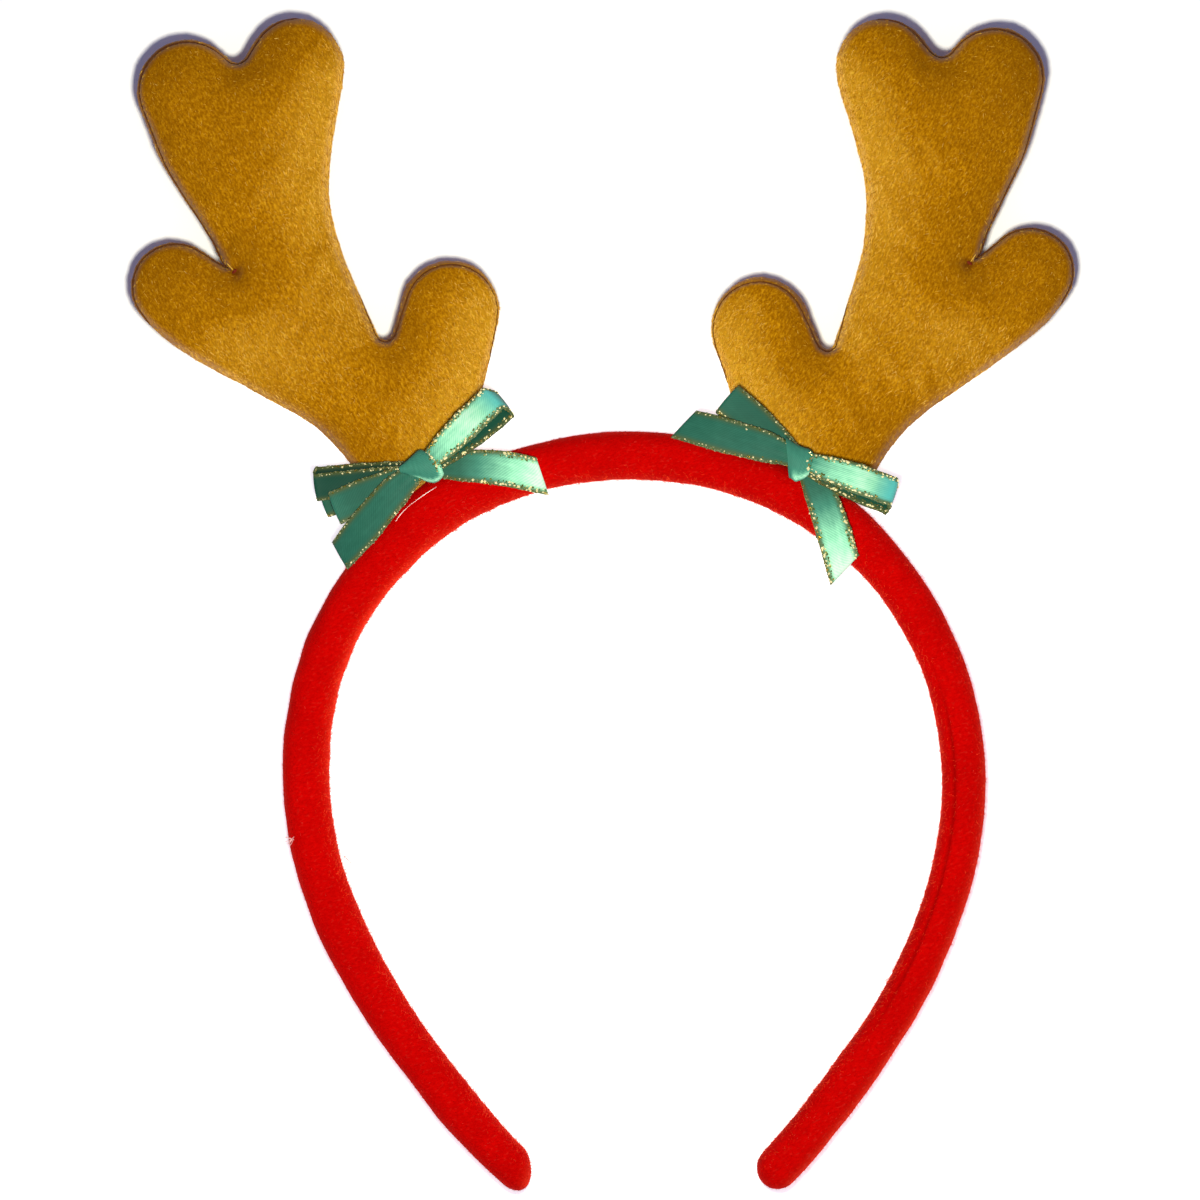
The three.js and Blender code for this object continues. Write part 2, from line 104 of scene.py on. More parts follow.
# Quads between neighbouring rings of a tube, ring by ring; the sides close on themselves.
def tubeQuads(rings, sides):
    start = np.arange(rings - 1)[:, None] * sides
    side = np.arange(sides)[None, :]
    after = (side + 1) % sides
    corners = [start + side, start + after, start + sides + after, start + sides + side]
    return np.stack(corners, -1).reshape(-1, 4)


def closedTube(rings, sides):
    ends = np.array([np.arange(sides)[::-1], np.arange(sides) + (rings - 1) * sides])
    return [tubeQuads(rings, sides), ends]


# Mesh from points in mm and lists of faces; kinds picks one of the materials for each face.
def makePiece(name, points, faces, materials, smooth=True, kinds=None):
    mesh = bpy.data.meshes.new(name)
    corners = np.concatenate([np.ravel(f) for f in faces]).astype(np.int32)
    sizes = np.concatenate([np.full(len(f), np.shape(f)[1]) for f in faces])
    mesh.vertices.add(len(points))
    mesh.vertices.foreach_set("co", np.ravel(points * mm).astype(np.float32))
    mesh.loops.add(len(corners))
    mesh.loops.foreach_set("vertex_index", corners)
    mesh.polygons.add(len(sizes))
    mesh.polygons.foreach_set("loop_start", (np.cumsum(sizes) - sizes).astype(np.int32))
    mesh.polygons.foreach_set("use_smooth", np.full(len(sizes), smooth))
    mesh.update(calc_edges=True)
    for material in materials:
        mesh.materials.append(material)
    if kinds is not None:
        mesh.polygons.foreach_set("material_index", kinds.astype(np.int32))
    piece = bpy.data.objects.new(name, mesh)
    bpy.context.scene.collection.objects.link(piece)
    return piece


def readPoints(mesh, field="co"):
    values = np.empty(len(mesh.vertices) * 3, np.float32)
    mesh.vertices.foreach_get(field, values)
    return values.reshape(-1, 3).astype(float)


# Moves the points of a piece; none goes under the table.
def movePoints(piece, points):
    points[:, 2] = np.maximum(points[:, 2], 0)
    piece.data.vertices.foreach_set("co", points.ravel().astype(np.float32))
    piece.data.update()


# Numbers on the points of a piece, which its material reads by name.
def addNumbers(piece, **numbers):
    for name, values in numbers.items():
        layer = piece.data.attributes.new(name, "FLOAT", "POINT")
        layer.data.foreach_set("value", values.astype(np.float32))


def addWeaveMap(piece, along, across):
    corners = np.empty(len(piece.data.loops), np.int32)
    piece.data.loops.foreach_get("vertex_index", corners)
    layer = piece.data.uv_layers.new(name="weave")
    layer.data.foreach_set("uv", np.stack([along[corners], across[corners]], 1).ravel().astype(np.float32))


def dress(piece, slot, *nodes):
    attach(piece, "root")
    if nodes:
        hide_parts(*nodes)


# Tube along a path: a ring of sides points at a set radius, in the plane across the path, with closed ends.
def threadTube(path, radius, sides=6):
    along = unit(np.gradient(path, axis=0))
    flat = np.cross(along, [0.0, 0.0, 1.0])
    side = unit(np.where(np.linalg.norm(flat, axis=1, keepdims=True) < 1e-3, [1.0, 0.0, 0.0], flat))
    up = np.cross(side, along)
    angle = np.linspace(0, 2 * np.pi, sides, endpoint=False)[None, :, None]
    radius = np.broadcast_to(radius, len(path))[:, None, None]
    rings = path[:, None] + radius * (np.cos(angle) * up[:, None] + np.sin(angle) * side[:, None])
    return rings.reshape(-1, 3), closedTube(len(path), sides)


# Several tubes as the points and faces of one mesh.
def joinTubes(tubes):
    points, faces, first = [], [], 0
    for tubePoints, tubeFaces in tubes:
        points.append(tubePoints)
        faces += [first + f for f in tubeFaces]
        first += len(tubePoints)
    return np.vstack(points), faces


def skinOf(piece):
    mesh = piece.data
    return BVHTree.FromPolygons([v.co for v in mesh.vertices], [p.vertices for p in mesh.polygons])


# Places on top of a piece, seen from above, raised by a small clearance.
def overFelt(piece, spots, clear):
    skin = skinOf(piece)
    found = [skin.ray_cast(Vector((x * mm, y * mm, 0.1)), Vector((0, 0, -1)))[0] for x, y in spots]
    heights = [hit.z / mm if hit else 6.0 for hit in found]
    return np.array([(x, y, z + clear) for (x, y), z in zip(spots, heights)])


# Materials

def linear(hexColour):
    srgb = np.array([int(hexColour[k:k + 2], 16) for k in (1, 3, 5)]) / 255
    light = np.where(srgb <= 0.04045, srgb / 12.92, ((srgb + 0.055) / 1.055) ** 2.4)
    return (*light, 1.0)


# Fills in a node: a socket is linked, a value goes to the input of that name, the rest are its properties.
def fillIn(tree, node, settings):
    for key, value in settings.items():
        if isinstance(value, bpy.types.NodeSocket):
            tree.links.new(value, node.inputs[key])
        elif isinstance(key, int) or key in node.inputs:
            node.inputs[key].default_value = value
        else:
            setattr(node, key, value)


def addNode(tree, kind, settings, stops=(), outlet=0):
    node = tree.nodes.new("ShaderNode" + kind)
    fillIn(tree, node, settings)
    for k, (place, colour) in enumerate(stops):
        ramp = node.color_ramp.elements
        stop = ramp[k] if k < 2 else ramp.new(place)
        stop.position = place
        stop.color = linear(colour)
    return node.outputs[outlet]


def numberOn(tree, name):
    return addNode(tree, "Attribute", {"attribute_name": name}, outlet="Fac")


def noiseAt(tree, where, scale, detail, **more):
    settings = {"Vector": where, "Scale": scale, "Detail": detail, **more}
    return addNode(tree, "TexNoise", settings, outlet="Fac")


def reckon(tree, operation, *values, **more):
    return addNode(tree, "Math", {"operation": operation, **more, **dict(enumerate(values))})


def rescale(tree, value, start, end, toStart=0.0, toEnd=1.0):
    return addNode(tree, "MapRange", {"Value": value, "From Min": start, "From Max": end,
                                      "To Min": toStart, "To Max": toEnd})


def mixIn(tree, share, under, over):
    return addNode(tree, "MixRGB", {"Fac": share, "Color1": under, "Color2": over})


def newMaterial(name):
    material = bpy.data.materials.new(name)
    material.use_nodes = True
    tree = material.node_tree
    return material, tree, tree.nodes["Principled BSDF"]


# Plain dyed fibre, thread or glue: one colour all over.
def plainMaterial(name, colour, roughness, metallic=0.0, specular=0.5):
    material, tree, surface = newMaterial(name)
    fillIn(tree, surface, {"Base Color": linear(colour), "Roughness": roughness, "Metallic": metallic,
                           "Specular IOR Level": specular})
    return material


# Loose felt fibre: matt, so that it shows by its colour alone.
def feltFibres(*looks):
    return [plainMaterial(name + " felt fibre", colour, 1.0, specular=0.02) for name, colour in looks]


# Needled polyester felt, brushed: matt, mottled over some millimetres, with a combed nap of fine streaks
# and pale fibre ends. The slope number paints shade on slopes that face away from the lamp and light on those
# that face it; the crease shade number paints shade into seams and puckers, and the steep one a sheen on
# edges.
def brushedFelt(name, tones, streakTurn, streak=(0.42, 0.8), fleckSize=0.5, mottleSize=8.0):
    material, tree, surface = newMaterial(name)
    place = addNode(tree, "TexCoord", {}, outlet="Object")
    turned = addNode(tree, "Mapping", {"Vector": place, "Rotation": (0, 0, np.radians(-streakTurn))})
    stretch = (1 / (streak[1] * mm), 1 / (streak[0] * mm), 1 / (streak[0] * mm))
    combed = addNode(tree, "Mapping", {"Vector": turned, "Scale": stretch})
    nap = noiseAt(tree, combed, 1.0, 3.0, Roughness=0.65)
    body = addNode(tree, "ValToRGB", {"Fac": nap},
                   [(0.3, tones["deep"]), (0.72, tones["pale"]), (0.5, tones["body"])])
    slope = numberOn(tree, "slope")
    cloudy = rescale(tree, noiseAt(tree, place, 1 / (mottleSize * mm), 2.0), 0.35, 0.7, -0.05, 0.22)
    # painted shade on the slopes away from the lamp, with some random mottling, and painted light on those
    # facing it
    away = reckon(tree, "MULTIPLY_ADD", slope, tones["away"], cloudy, use_clamp=True)
    shadeAndMottle = mixIn(tree, away, body, linear(tones["shade"]))
    toward = reckon(tree, "MULTIPLY", slope, -tones["toward"], use_clamp=True)
    paintedLit = mixIn(tree, toward, shadeAndMottle, linear(tones["rim"]))
    # painted highlights: the fibre ends sparkle on the slopes that face the lamp
    ends = noiseAt(tree, combed, streak[0] / fleckSize, 1.0)
    fleck = rescale(tree, ends, 0.6, 0.7, 0.0, tones["fleckShare"])
    facing = rescale(tree, slope, 0.05, -0.35, 0.12, 1.0)
    flecked = mixIn(tree, reckon(tree, "MULTIPLY", fleck, facing), paintedLit, linear(tones["fleck"]))
    # painted shade in seam grooves, puckers, the lap's groove and under the ribbon
    creased = mixIn(tree, numberOn(tree, "crease"), flecked, linear(tones["crease"]))
    # painted sheen on the steep edges, paler where they face the lamp
    sunny = rescale(tree, slope, 0.1, -0.4)
    paintedSheen = mixIn(tree, sunny, linear(tones["paintedSheenVeil"]), linear(tones["sunnyVeil"]))
    withPaintedSheen = mixIn(tree, numberOn(tree, "steep"), creased, paintedSheen)
    bump = addNode(tree, "Bump", {"Height": nap, "Strength": 0.6, "Distance": 0.25 * mm})
    fillIn(tree, surface, {"Base Color": withPaintedSheen, "Normal": bump, "Roughness": 1.0, "Specular IOR Level": 0.02,
                           "Sheen Weight": tones["sheen"], "Sheen Roughness": 0.28,
                           "Sheen Tint": linear(tones["bloom"])})
    return material


# Polyester satin ribbon: long warp floats that shine, crossed by a fine twill slant. The tone number on the
# mesh paints light and shade, from the deep green of the shaded floats to the mint of those that catch the
# light;
# the sky one paints a blue reflection on bright folds, and the gilt one goes from bare satin to the olive
# edge.
def satinRibbon(name, weaveGap=0.44):
    material, tree, surface = newMaterial(name)
    tone = numberOn(tree, "tone")
    weave = addNode(tree, "UVMap", {"uv_map": "weave"})
    slant = addNode(tree, "Mapping", {"Vector": weave, "Rotation": (0, 0, np.radians(48))})
    # real floats are about 0.1 mm apart; drawn coarser so that they show
    floats = addNode(tree, "TexWave", {"Vector": slant, "Scale": 0.314 / weaveGap, "Distortion": 1.2,
                                       "Detail": 1.0, "Detail Scale": 2.0}, outlet="Fac")
    # the slant lines show most where the floats shine, and so do the uneven streaks along the ribbon
    strength = reckon(tree, "MULTIPLY", tone, 0.12)
    lines = reckon(tree, "MULTIPLY", reckon(tree, "SUBTRACT", floats, 0.5), strength)
    drawn = addNode(tree, "Mapping", {"Vector": weave, "Scale": (0.14, 1.6, 1.0)})
    patchy = reckon(tree, "ADD", noiseAt(tree, weave, 0.5, 2.0), noiseAt(tree, drawn, 1.0, 2.0))
    drift = reckon(tree, "MULTIPLY", rescale(tree, patchy, 0.7, 1.3, -0.08, 0.07), tone)
    level = reckon(tree, "ADD", reckon(tree, "ADD", lines, drift), tone)
    colour = addNode(tree, "ValToRGB", {"Fac": level},
                     [(0.0, "#0A2F22"), (1.0, "#D8F3DA"), (0.25, "#285F4D"), (0.45, "#418670"),
                      (0.6, "#6AB090"), (0.8, "#9DE9BC")])
    cooled = mixIn(tree, numberOn(tree, "sky"), colour, linear("#5CC6BE"))
    edged = mixIn(tree, numberOn(tree, "gilt"), cooled, linear("#6C6A34"))
    bump = addNode(tree, "Bump", {"Height": floats, "Strength": 0.2, "Distance": 0.05 * mm})
    fillIn(tree, surface, {"Base Color": edged, "Normal": bump, "Roughness": 0.5, "Specular IOR Level": 0.05})
    return material


# White paper with painted light: it glows round the band, where the white swallows every shadow, and does not
# glow under the antlers.
def tableWithPaintedGlow(name, paintedLight=0.7, lit=42, unlit=52):
    material, tree, surface = newMaterial(name)
    place = addNode(tree, "TexCoord", {}, outlet="Object")
    up = addNode(tree, "SeparateXYZ", {"Vector": place}, outlet="Y")
    fillIn(tree, surface, {"Emission Strength": rescale(tree, up, unlit * mm, lit * mm, 0.0, paintedLight),
                           "Emission Color": linear("#FFFFFF"), "Base Color": linear("#FBFBFD"),
                           "Roughness": 0.8, "Specular IOR Level": 0.1})
    return material


# crease is painted shade in grooves; the two veils are a painted sheen on steep edges
# shade is painted shade on slopes away from the lamp; rim and fleck are painted light on slopes facing it
redTones = {"deep": "#AE0000", "body": "#BE0100", "pale": "#CC0402", "shade": "#8E0000", "away": 0.85,
            "rim": "#FF3418", "toward": 0.85, "fleck": "#FF6A54", "fleckShare": 0.16, "crease": "#700000",
            "paintedSheenVeil": "#FF6A50", "sunnyVeil": "#FF6A50", "sheen": 0.12, "bloom": "#FF6A50"}
brownTones = {"deep": "#7E4D00", "body": "#A16802", "pale": "#CA8F10", "shade": "#7C4A00", "away": 1.1,
              "rim": "#DAA62C", "toward": 1.1, "fleck": "#F2C040", "fleckShare": 0.5, "crease": "#552206",
              "paintedSheenVeil": "#C6A692", "sunnyVeil": "#FFC88C", "sheen": 0.03, "bloom": "#E8C4A0"}
redFelt = brushedFelt("red brushed felt", redTones, 20)
brownFelt = {"left": brushedFelt("golden brown brushed felt, combed right", brownTones, 118),
             "right": brushedFelt("golden brown brushed felt, combed left", brownTones, 62)}
redNap = feltFibres(("red", "#C00200"), ("bright red", "#D80C06"), ("pale red", "#EA5044"))
rimNap = feltFibres(("orange red", "#F24A28"))
brownNap = feltFibres(("brown", "#9C6203"), ("golden", "#C28A12"), ("pale gold", "#E8B646"))
strawNap = feltFibres(("straw", "#F0C660"))
satin = satinRibbon("green satin ribbon")
# lit and shaded copies of the metal thread: the pale one is a painted glint, the dull one painted shade,
# and the olive one is used most in the shade
goldThread = [plainMaterial("gold thread with painted glint", "#FFF0B4", 0.35),
              plainMaterial("gold metallic thread", "#DCC268", 0.32, metallic=1.0),
              plainMaterial("gold thread in painted shade", "#868C62", 0.5),
              plainMaterial("olive gold thread", "#565E1E", 0.5)]
seamThread = plainMaterial("brown sewing thread", "#5A2E08", 0.8, specular=0.2)
tackThread = plainMaterial("dark red tacking thread", "#6E1E02", 0.8, specular=0.2)
# the glue is clear; its pinkish white is a painted glint
clearGlue = plainMaterial("clear glue thread", "#FFDAD6", 0.2)
paleLint = plainMaterial("pale lint", "#F2BDB8", 0.9)
paleTable = tableWithPaintedGlow("white paper with painted glow round the band")
print("materials made")


# Brushed nap: needles with three sides, rooted at random over a mesh by area. Each leans from the groom
# direction by a stray angle and lifts off the surface by a small one.
def brushNap(name, base, looks, settings, groom, chance=None, sunk=0.04, clear=0.02):
    mesh = base.data
    mesh.calc_loop_triangles()
    corners = np.empty(len(mesh.loop_triangles) * 3, np.int32)
    mesh.loop_triangles.foreach_get("vertices", corners)
    corners = corners.reshape(-1, 3)
    points = readPoints(mesh) / mm
    normals = readPoints(mesh, "normal")
    a, b, c = (points[corners[:, k]] for k in range(3))
    share = np.linalg.norm(np.cross(b - a, c - a), axis=1)
    share = share * (points[corners, 2].min(1) > settings["clearFloor"])
    if chance is not None:
        share = share * chance[corners].mean(1)
    random = np.random.default_rng(settings["seed"])
    count = settings["count"]
    pick = corners[random.choice(len(corners), count, p=share / share.sum())]
    r, q = np.sqrt(random.random(count)), random.random(count)
    weights = np.stack([1 - r, r * (1 - q), r * q], 1)[:, :, None]
    root = (points[pick] * weights).sum(1)
    normal = unit((normals[pick] * weights).sum(1))
    way = groom(root)
    way = unit(way - normal * (way * normal).sum(1, keepdims=True))
    stray = random.normal(0, np.radians(settings["stray"]), count)[:, None]
    way = np.cos(stray) * way + np.sin(stray) * np.cross(normal, way)
    lift = np.radians(random.uniform(*settings["lift"], count))[:, None]
    heading = np.cos(lift) * way + np.sin(lift) * normal
    side = unit(np.cross(normal, heading))
    up = np.cross(heading, side)
    length = random.uniform(*settings["length"], count)[:, None]
    half = random.uniform(*settings["thick"], count)[:, None] / 2
    foot = [root - sunk * normal + half * (np.cos(w) * side + np.sin(w) * up)
            for w in np.radians([90, 210, 330])]
    needles = np.stack([*foot, root + heading * length], 1).reshape(-1, 3)
    needles[:, 2] = np.maximum(needles[:, 2], clear)  # none goes into the table
    first = np.arange(count)[:, None, None] * 4
    faces = (first + np.array([[0, 2, 1], [0, 1, 3], [1, 2, 3], [2, 0, 3]])).reshape(-1, 3)
    kind = random.choice(len(looks), count, p=settings["mix"])
    return makePiece(name, needles, [faces], looks, smooth=False, kinds=np.repeat(kind, 4))


# Band: a padded felt sleeve over a springy hoop

band = {
    "centre": (6.4, -36.6),
    "width": 12.0,
    "squareness": 0.8,
    "rings": 620,
    "sides": 72,
    "tipRound": 4.2,
    "tipSlant": (-0.42, 0.0),
    "lumps": [(0.05, 16, 11), (0.02, 5, 12)],
    "pucker": [(0.02, 2.6, 13)],
    "lap": {"from": 66, "to": 140, "fade": 15, "angle": 114, "spread": 5.0, "depth": 0.32, "dark": 0.55},
    # turn from the crown in degrees, reach from the centre, pad seen from the front
    "rows": [(-165, 81.8, 7.8), (-152, 74.1, 8.8), (-140, 69.2, 8.8), (-122, 65.9, 9.3), (-98, 65.7, 9.3),
             (-62, 67.6, 9.4), (-47, 67.8, 10.1), (-36, 68.3, 11.3), (-22, 66.8, 9.6), (0, 65.9, 9.6),
             (24, 65.9, 9.3), (38, 66.6, 10.0), (50, 66.2, 9.0), (100, 65.7, 8.6), (118, 66.6, 8.4),
             (136, 70.0, 8.4), (148, 74.5, 8.7), (162.4, 83.4, 8.2)],
    # the way that the sides with painted light face, and how much of the painted shading is broad there and
    # on the other sides
    "brightWay": (0.85, -0.53, 0),
    "broad": (0.15, 0.4),
    "nap": {"seed": 3, "count": 26000, "clearFloor": 0.2, "stray": 60, "lift": (3, 26),
            "length": (0.4, 1.0), "thick": (0.04, 0.08), "mix": (0.6, 0.37, 0.03)},
    "fuzz": {"seed": 4, "count": 10000, "clearFloor": 0.4, "stray": 80, "lift": (15, 60),
             "length": (0.5, 1.6), "thick": (0.04, 0.08), "mix": (1.0,)},
}


def fromHoop(points):
    return np.linalg.norm(points[:, :2] - np.array(band["centre"]), axis=1)


# The hoop's line in polar form about its centre: turn and pad at every fine step, and the arc length.
def hoopLine():
    turn, reach, pad = curveThrough(band["rows"], 80).T
    angle = np.radians(90 - turn)
    line = np.array(band["centre"]) + reach[:, None] * np.stack([np.cos(angle), np.sin(angle)], 1)
    return line, turn, pad, runAlong(line)


# Sleeve surface: at arc length s and section angle w the section is a rounded square whose half sizes are
# the pad and the width, shrunk on a quarter circle at both ends, plus lumps, puckers and the lap's groove.
def makeBand():
    line, turns, pads, run = hoopLine()
    total = run[-1]
    tip = band["tipRound"] * (1 - np.cos(np.linspace(0.12, np.pi / 2, 12)))
    s = np.concatenate([tip, np.linspace(tip[-1], total - tip[-1], band["rings"])[1:-1], total - tip[::-1]])
    level = np.zeros((len(s), 1))
    middle = np.hstack([readAlong(s, run, line), level + band["width"] / 2])
    along = unit(np.hstack([readAlong(s, run, np.gradient(line, run, axis=0)), level]))
    out = np.stack([-along[:, 1], along[:, 0], 0 * s], 1)
    fromEnd = np.minimum(s, total - s)
    size = np.sqrt(1 - (1 - np.minimum(fromEnd / band["tipRound"], 1)) ** 2)
    slant = np.where(s < total / 2, *band["tipSlant"]) * np.maximum(0, 1 - fromEnd / (3 * band["tipRound"]))
    w = (np.arange(band["sides"]) + 0.5) / band["sides"] * 2 * np.pi
    section = squaredCircle(w, band["squareness"])
    halfPad = np.interp(s, run, pads) / 2
    across = (halfPad * size)[:, None] * section[None, :, 0]
    high = (band["width"] / 2 * size)[:, None] * section[None, :, 1] / section[:, 1].max()
    points = middle[:, None] + across[..., None] * (out + along * slant[:, None])[:, None]
    points[..., 2] += high
    # unevenness along the outward direction of the section
    outward = unit(across[..., None] * out[:, None] + high[..., None] * np.array([0, 0, 1.0]))
    lap = band["lap"]
    turn = np.interp(s, run, turns)
    within = rise(turn, lap["from"], lap["fade"]) * rise(turn, lap["to"], -lap["fade"])
    groove = within[:, None] * bell(np.degrees(w) - lap["angle"], lap["spread"])[None, :]
    lumps = lumpiness(points, band["lumps"])
    # the puckers are on the inner side and run across the sleeve, so they change little that way
    sleeve = np.stack(np.broadcast_arrays(s[:, None], 0.2 * across), -1)
    ridges = np.clip(-np.cos(w), 0, 1) * lumpiness(sleeve, band["pucker"])
    points += outward * (size[:, None] * (lumps + ridges) - lap["depth"] * groove)[..., None]
    points[..., 2] = np.maximum(points[..., 2], 0)
    piece = makePiece("felt_band", points.reshape(-1, 3), closedTube(*across.shape), [redFelt])
    # painted shade and light, strongest near the rim
    toLight = readPoints(piece.data, "normal") @ np.array(band["brightWay"])
    broad = np.where(toLight > 0, *band["broad"])
    slope = -np.sign(toLight) * (broad * toLight**2 + (1 - broad) * toLight**8)
    # painted shade in the lap's groove
    addNumbers(piece, crease=np.clip(lap["dark"] * groove, 0, 1).ravel(), slope=slope)
    return piece


def roundHoop(root):
    spoke = root - np.array([*band["centre"], 0])
    return np.stack([spoke[:, 1], -spoke[:, 0], 0.15 * spoke[:, 0]], 1)


feltBand = makeBand()
dress(feltBand, "red_felt", "band")
bandNap = brushNap("band_nap", feltBand, redNap, band["nap"], roundHoop)
dress(bandNap, "red_felt")
# longer loose fibres on the side of the hoop that faces the head, and some on the right; their orange,
# paler than the felt, and the share on the right, the lit side, are painted light
bandSpoke = readPoints(feltBand.data) / mm - np.array([*band["centre"], 0])
bandNormal = readPoints(feltBand.data, "normal")
fuzzChance = np.clip(-(unit(bandSpoke * [1, 1, 0]) * bandNormal).sum(1), 0, 1) ** 2
fuzzChance += 0.4 * np.clip(bandNormal[:, 0], 0, 1) ** 2
bandFuzz = brushNap("band_fuzz", feltBand, rimNap, band["fuzz"], roundHoop, fuzzChance)
dress(bandFuzz, "red_felt")
print("band made:", len(feltBand.data.polygons), "faces")


# Antlers: felt sewn along a pattern line, turned and stuffed

antler = {
    "level": 7.5,
    "voxel": 0.8,
    "smooth": 7,
    "rounds": 3,
    "evening": 2,
    "lip": (0.1, 0.5),
    "swellCap": 0.7,
    "pressure": 4.0,
    "swellFrames": 20,
    "seamDepth": 0.34,
    "seamSpread": 0.32,
    "edgeRound": 4.6,
    "thread": 0.12,
    "lumps": [(0.05, 14, 31), (0.03, 4.5, 32)],
    "pucker": {"reach": 1.7, "depth": 0.5, "spot": 1.1},
    "notch": {"at": (-16.6, 50.1), "way": 122, "start": -1.2, "shut": 1.8, "reach": 6.0, "draw": 0.95,
              "wide": 1.7},
    # a tack of red thread holds the foot of the side notch, and a frayed edge of the felt stands up beside it
    "tack": {"at": (-15.7, 49.0), "way": (1.2, 0.4), "clear": -0.1, "radius": 0.36},
    "fray": {"at": (-16.2, 50.3), "way": (-0.7, 1.9), "clear": 0.0, "radius": 0.13},
    # share of the painted crease shade in the seam's groove, at the tack, in its gathers and on the foot's
    # edge
    "dark": {"seam": 0.36, "spot": 0.7, "gather": 0.1, "foot": 0.85},
    # share of painted sheen on the tines, which lie beyond a line across the table, and on the feet
    "paintedSheenVeil": {"line": 45, "tines": 0.5, "feet": 0.3, "steep": 0.85, "power": 1.2},
    # the foot by its distance from the hoop's centre: sewn down inside the first, held inside the second,
    # free beyond the third, and where the seam starts and the dark under the ribbon ends
    "foot": {"sewn": 76.0, "held": 73.0, "free": 77.0, "seam": 73.5, "dark": 75.6},
    "sides": {
        "left": {"hand": 1, "at": (-40.8, 26.4), "lean": 22.0},
        "right": {"hand": -1, "at": (45.0, 24.4), "lean": -15.1},
    },
    # pegs that the pattern line runs round: x, y, radius (below 0 on the other side), and how far the seam
    # shows inside the outline where the line meets the peg and where it leaves it (below 0 it is underneath)
    "pegs": [(1.5, -16, 2, -0.5, -0.5), (21.3, 25.7, 9.8, 0.1, 0.7), (7.5, 25.9, -1.5, 0.5, 0.25),
             (48.4, 43, -43, -0.2, -0.2), (11.1, 82.4, 9.5, -0.5, 0.3), (0.9, 88.9, -2, 0.28, 0.22),
             (-10.9, 86, 10.1, 0.22, 0.3), (9, 76.5, 30, 0.28, 0.16), (-17.1, 50.4, -0.5, 0.16, 0.16),
             (-27.7, 50.4, 9, 0.18, 0.14), (-3.6, 57.5, 34, -0.1, -0.3), (-43, -4, -35.6, -0.3, -0.3),
             (-4.4, -18, 2, -0.5, -0.5)],
    # painted light spots, in the pattern: x, y, spread, amount; and how much more painted light there is
    # with each millimetre toward the inner tine
    "paintedLight": [(-18.0, 33.5, 9.5, 0.22), (24.0, 31.0, 5.0, 0.12)],
    "paintedLightInward": 0.008,
    "comb": (0.55, -0.8, 0.0),
    # the chance of a needle: usual, change with the slope, least and most; more of them, pale ones among
    # them, stand on the slopes toward the lamp as painted light
    "streaks": {"seed": 25, "count": 14000, "clearFloor": 0.3, "stray": 32, "lift": (2, 14),
                "length": (0.5, 1.3), "thick": (0.1, 0.2), "mix": (0.14, 0.26, 0.46, 0.14),
                "chance": (0.08, -1.6, 0.02, 1.0)},
    "nap": {"seed": 21, "count": 27000, "clearFloor": 0.3, "stray": 75, "lift": (2, 15),
            "length": (0.3, 0.9), "thick": (0.09, 0.19), "mix": (0.42, 0.5, 0.08),
            "chance": (0.75, -0.6, 0.2, 1.4)},
}


# The pattern line: an arc round each peg from where the thread meets it to where it leaves it. The thread's
# shared normal with the next peg is its heading less the arc cosine of the radius difference over the run.
def patternLine(step=0.6):
    pegs = np.array(antler["pegs"])
    centre, radius = pegs[:, :2], pegs[:, 2]
    run = np.roll(centre, -1, 0) - centre
    length = np.linalg.norm(run, axis=1)
    leave = np.arctan2(run[:, 1], run[:, 0]) - np.arccos((radius - np.roll(radius, -1)) / length)
    arrive = np.roll(leave, 1)
    turn = np.where(radius > 0, np.mod(leave - arrive, 2 * np.pi), -np.mod(arrive - leave, 2 * np.pi))
    spots, shows = [], []
    for k in range(len(pegs)):
        count = max(3, int(abs(turn[k] * radius[k]) / step))
        t = np.linspace(0, 1, count)[:, None]
        angle = arrive[k] + turn[k] * t
        spots.append(centre[k] + radius[k] * np.hstack([np.cos(angle), np.sin(angle)]))
        shows.append(pegs[k, 3] + (pegs[k, 4] - pegs[k, 3]) * t[:, 0])
    spots, shows = np.vstack(spots), np.concatenate(shows)
    far = runAlong(spots)
    even = np.arange(0, far[-1], step)
    return readAlong(even, far, spots), np.interp(even, far, shows)


# From the pattern to the table: mirrored for the right antler, leaned and set in place.
def setAntler(plan, side):
    place = antler["sides"][side]
    lean = np.radians(place["lean"])
    plan = np.atleast_2d(plan)
    x, y = place["hand"] * plan[:, 0], plan[:, 1]
    return np.stack([place["at"][0] + x * np.cos(lean) - y * np.sin(lean),
                     place["at"][1] + x * np.sin(lean) + y * np.cos(lean)], 1)


def applyModifiers(piece):
    shaped = bpy.data.meshes.new_from_object(piece.evaluated_get(bpy.context.evaluated_depsgraph_get()))
    piece.modifiers.clear()
    piece.data = shaped


# The stuffed felt starts as the CAD solid, rounded and remeshed evenly, then swells under pressure.
def stuffedFelt(side):
    name, solid = "felt_antler_" + side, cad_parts["antler_" + side]
    shape = bmesh.new()
    shape.from_mesh(solid.data)
    bmesh.ops.remove_doubles(shape, verts=shape.verts, dist=0.002 * mm)
    mesh = bpy.data.meshes.new(name)
    shape.to_mesh(mesh)
    shape.free()
    piece = bpy.data.objects.new(name, mesh)
    bpy.context.scene.collection.objects.link(piece)
    rounded = piece.modifiers.new("rounded", "SUBSURF")
    rounded.levels = rounded.render_levels = 2
    even = piece.modifiers.new("even", "REMESH")
    even.mode = "VOXEL"
    even.voxel_size = antler["voxel"] * mm
    soft = piece.modifiers.new("soft", "SMOOTH")
    soft.factor = 0.5
    soft.iterations = antler["smooth"]
    applyModifiers(piece)
    swell(piece)
    fillOut(piece, solid)
    finer = piece.modifiers.new("finer", "SUBSURF")
    finer.levels = finer.render_levels = 1
    applyModifiers(piece)
    piece.data.materials.clear()
    piece.data.materials.append(brownFelt[side])
    return piece


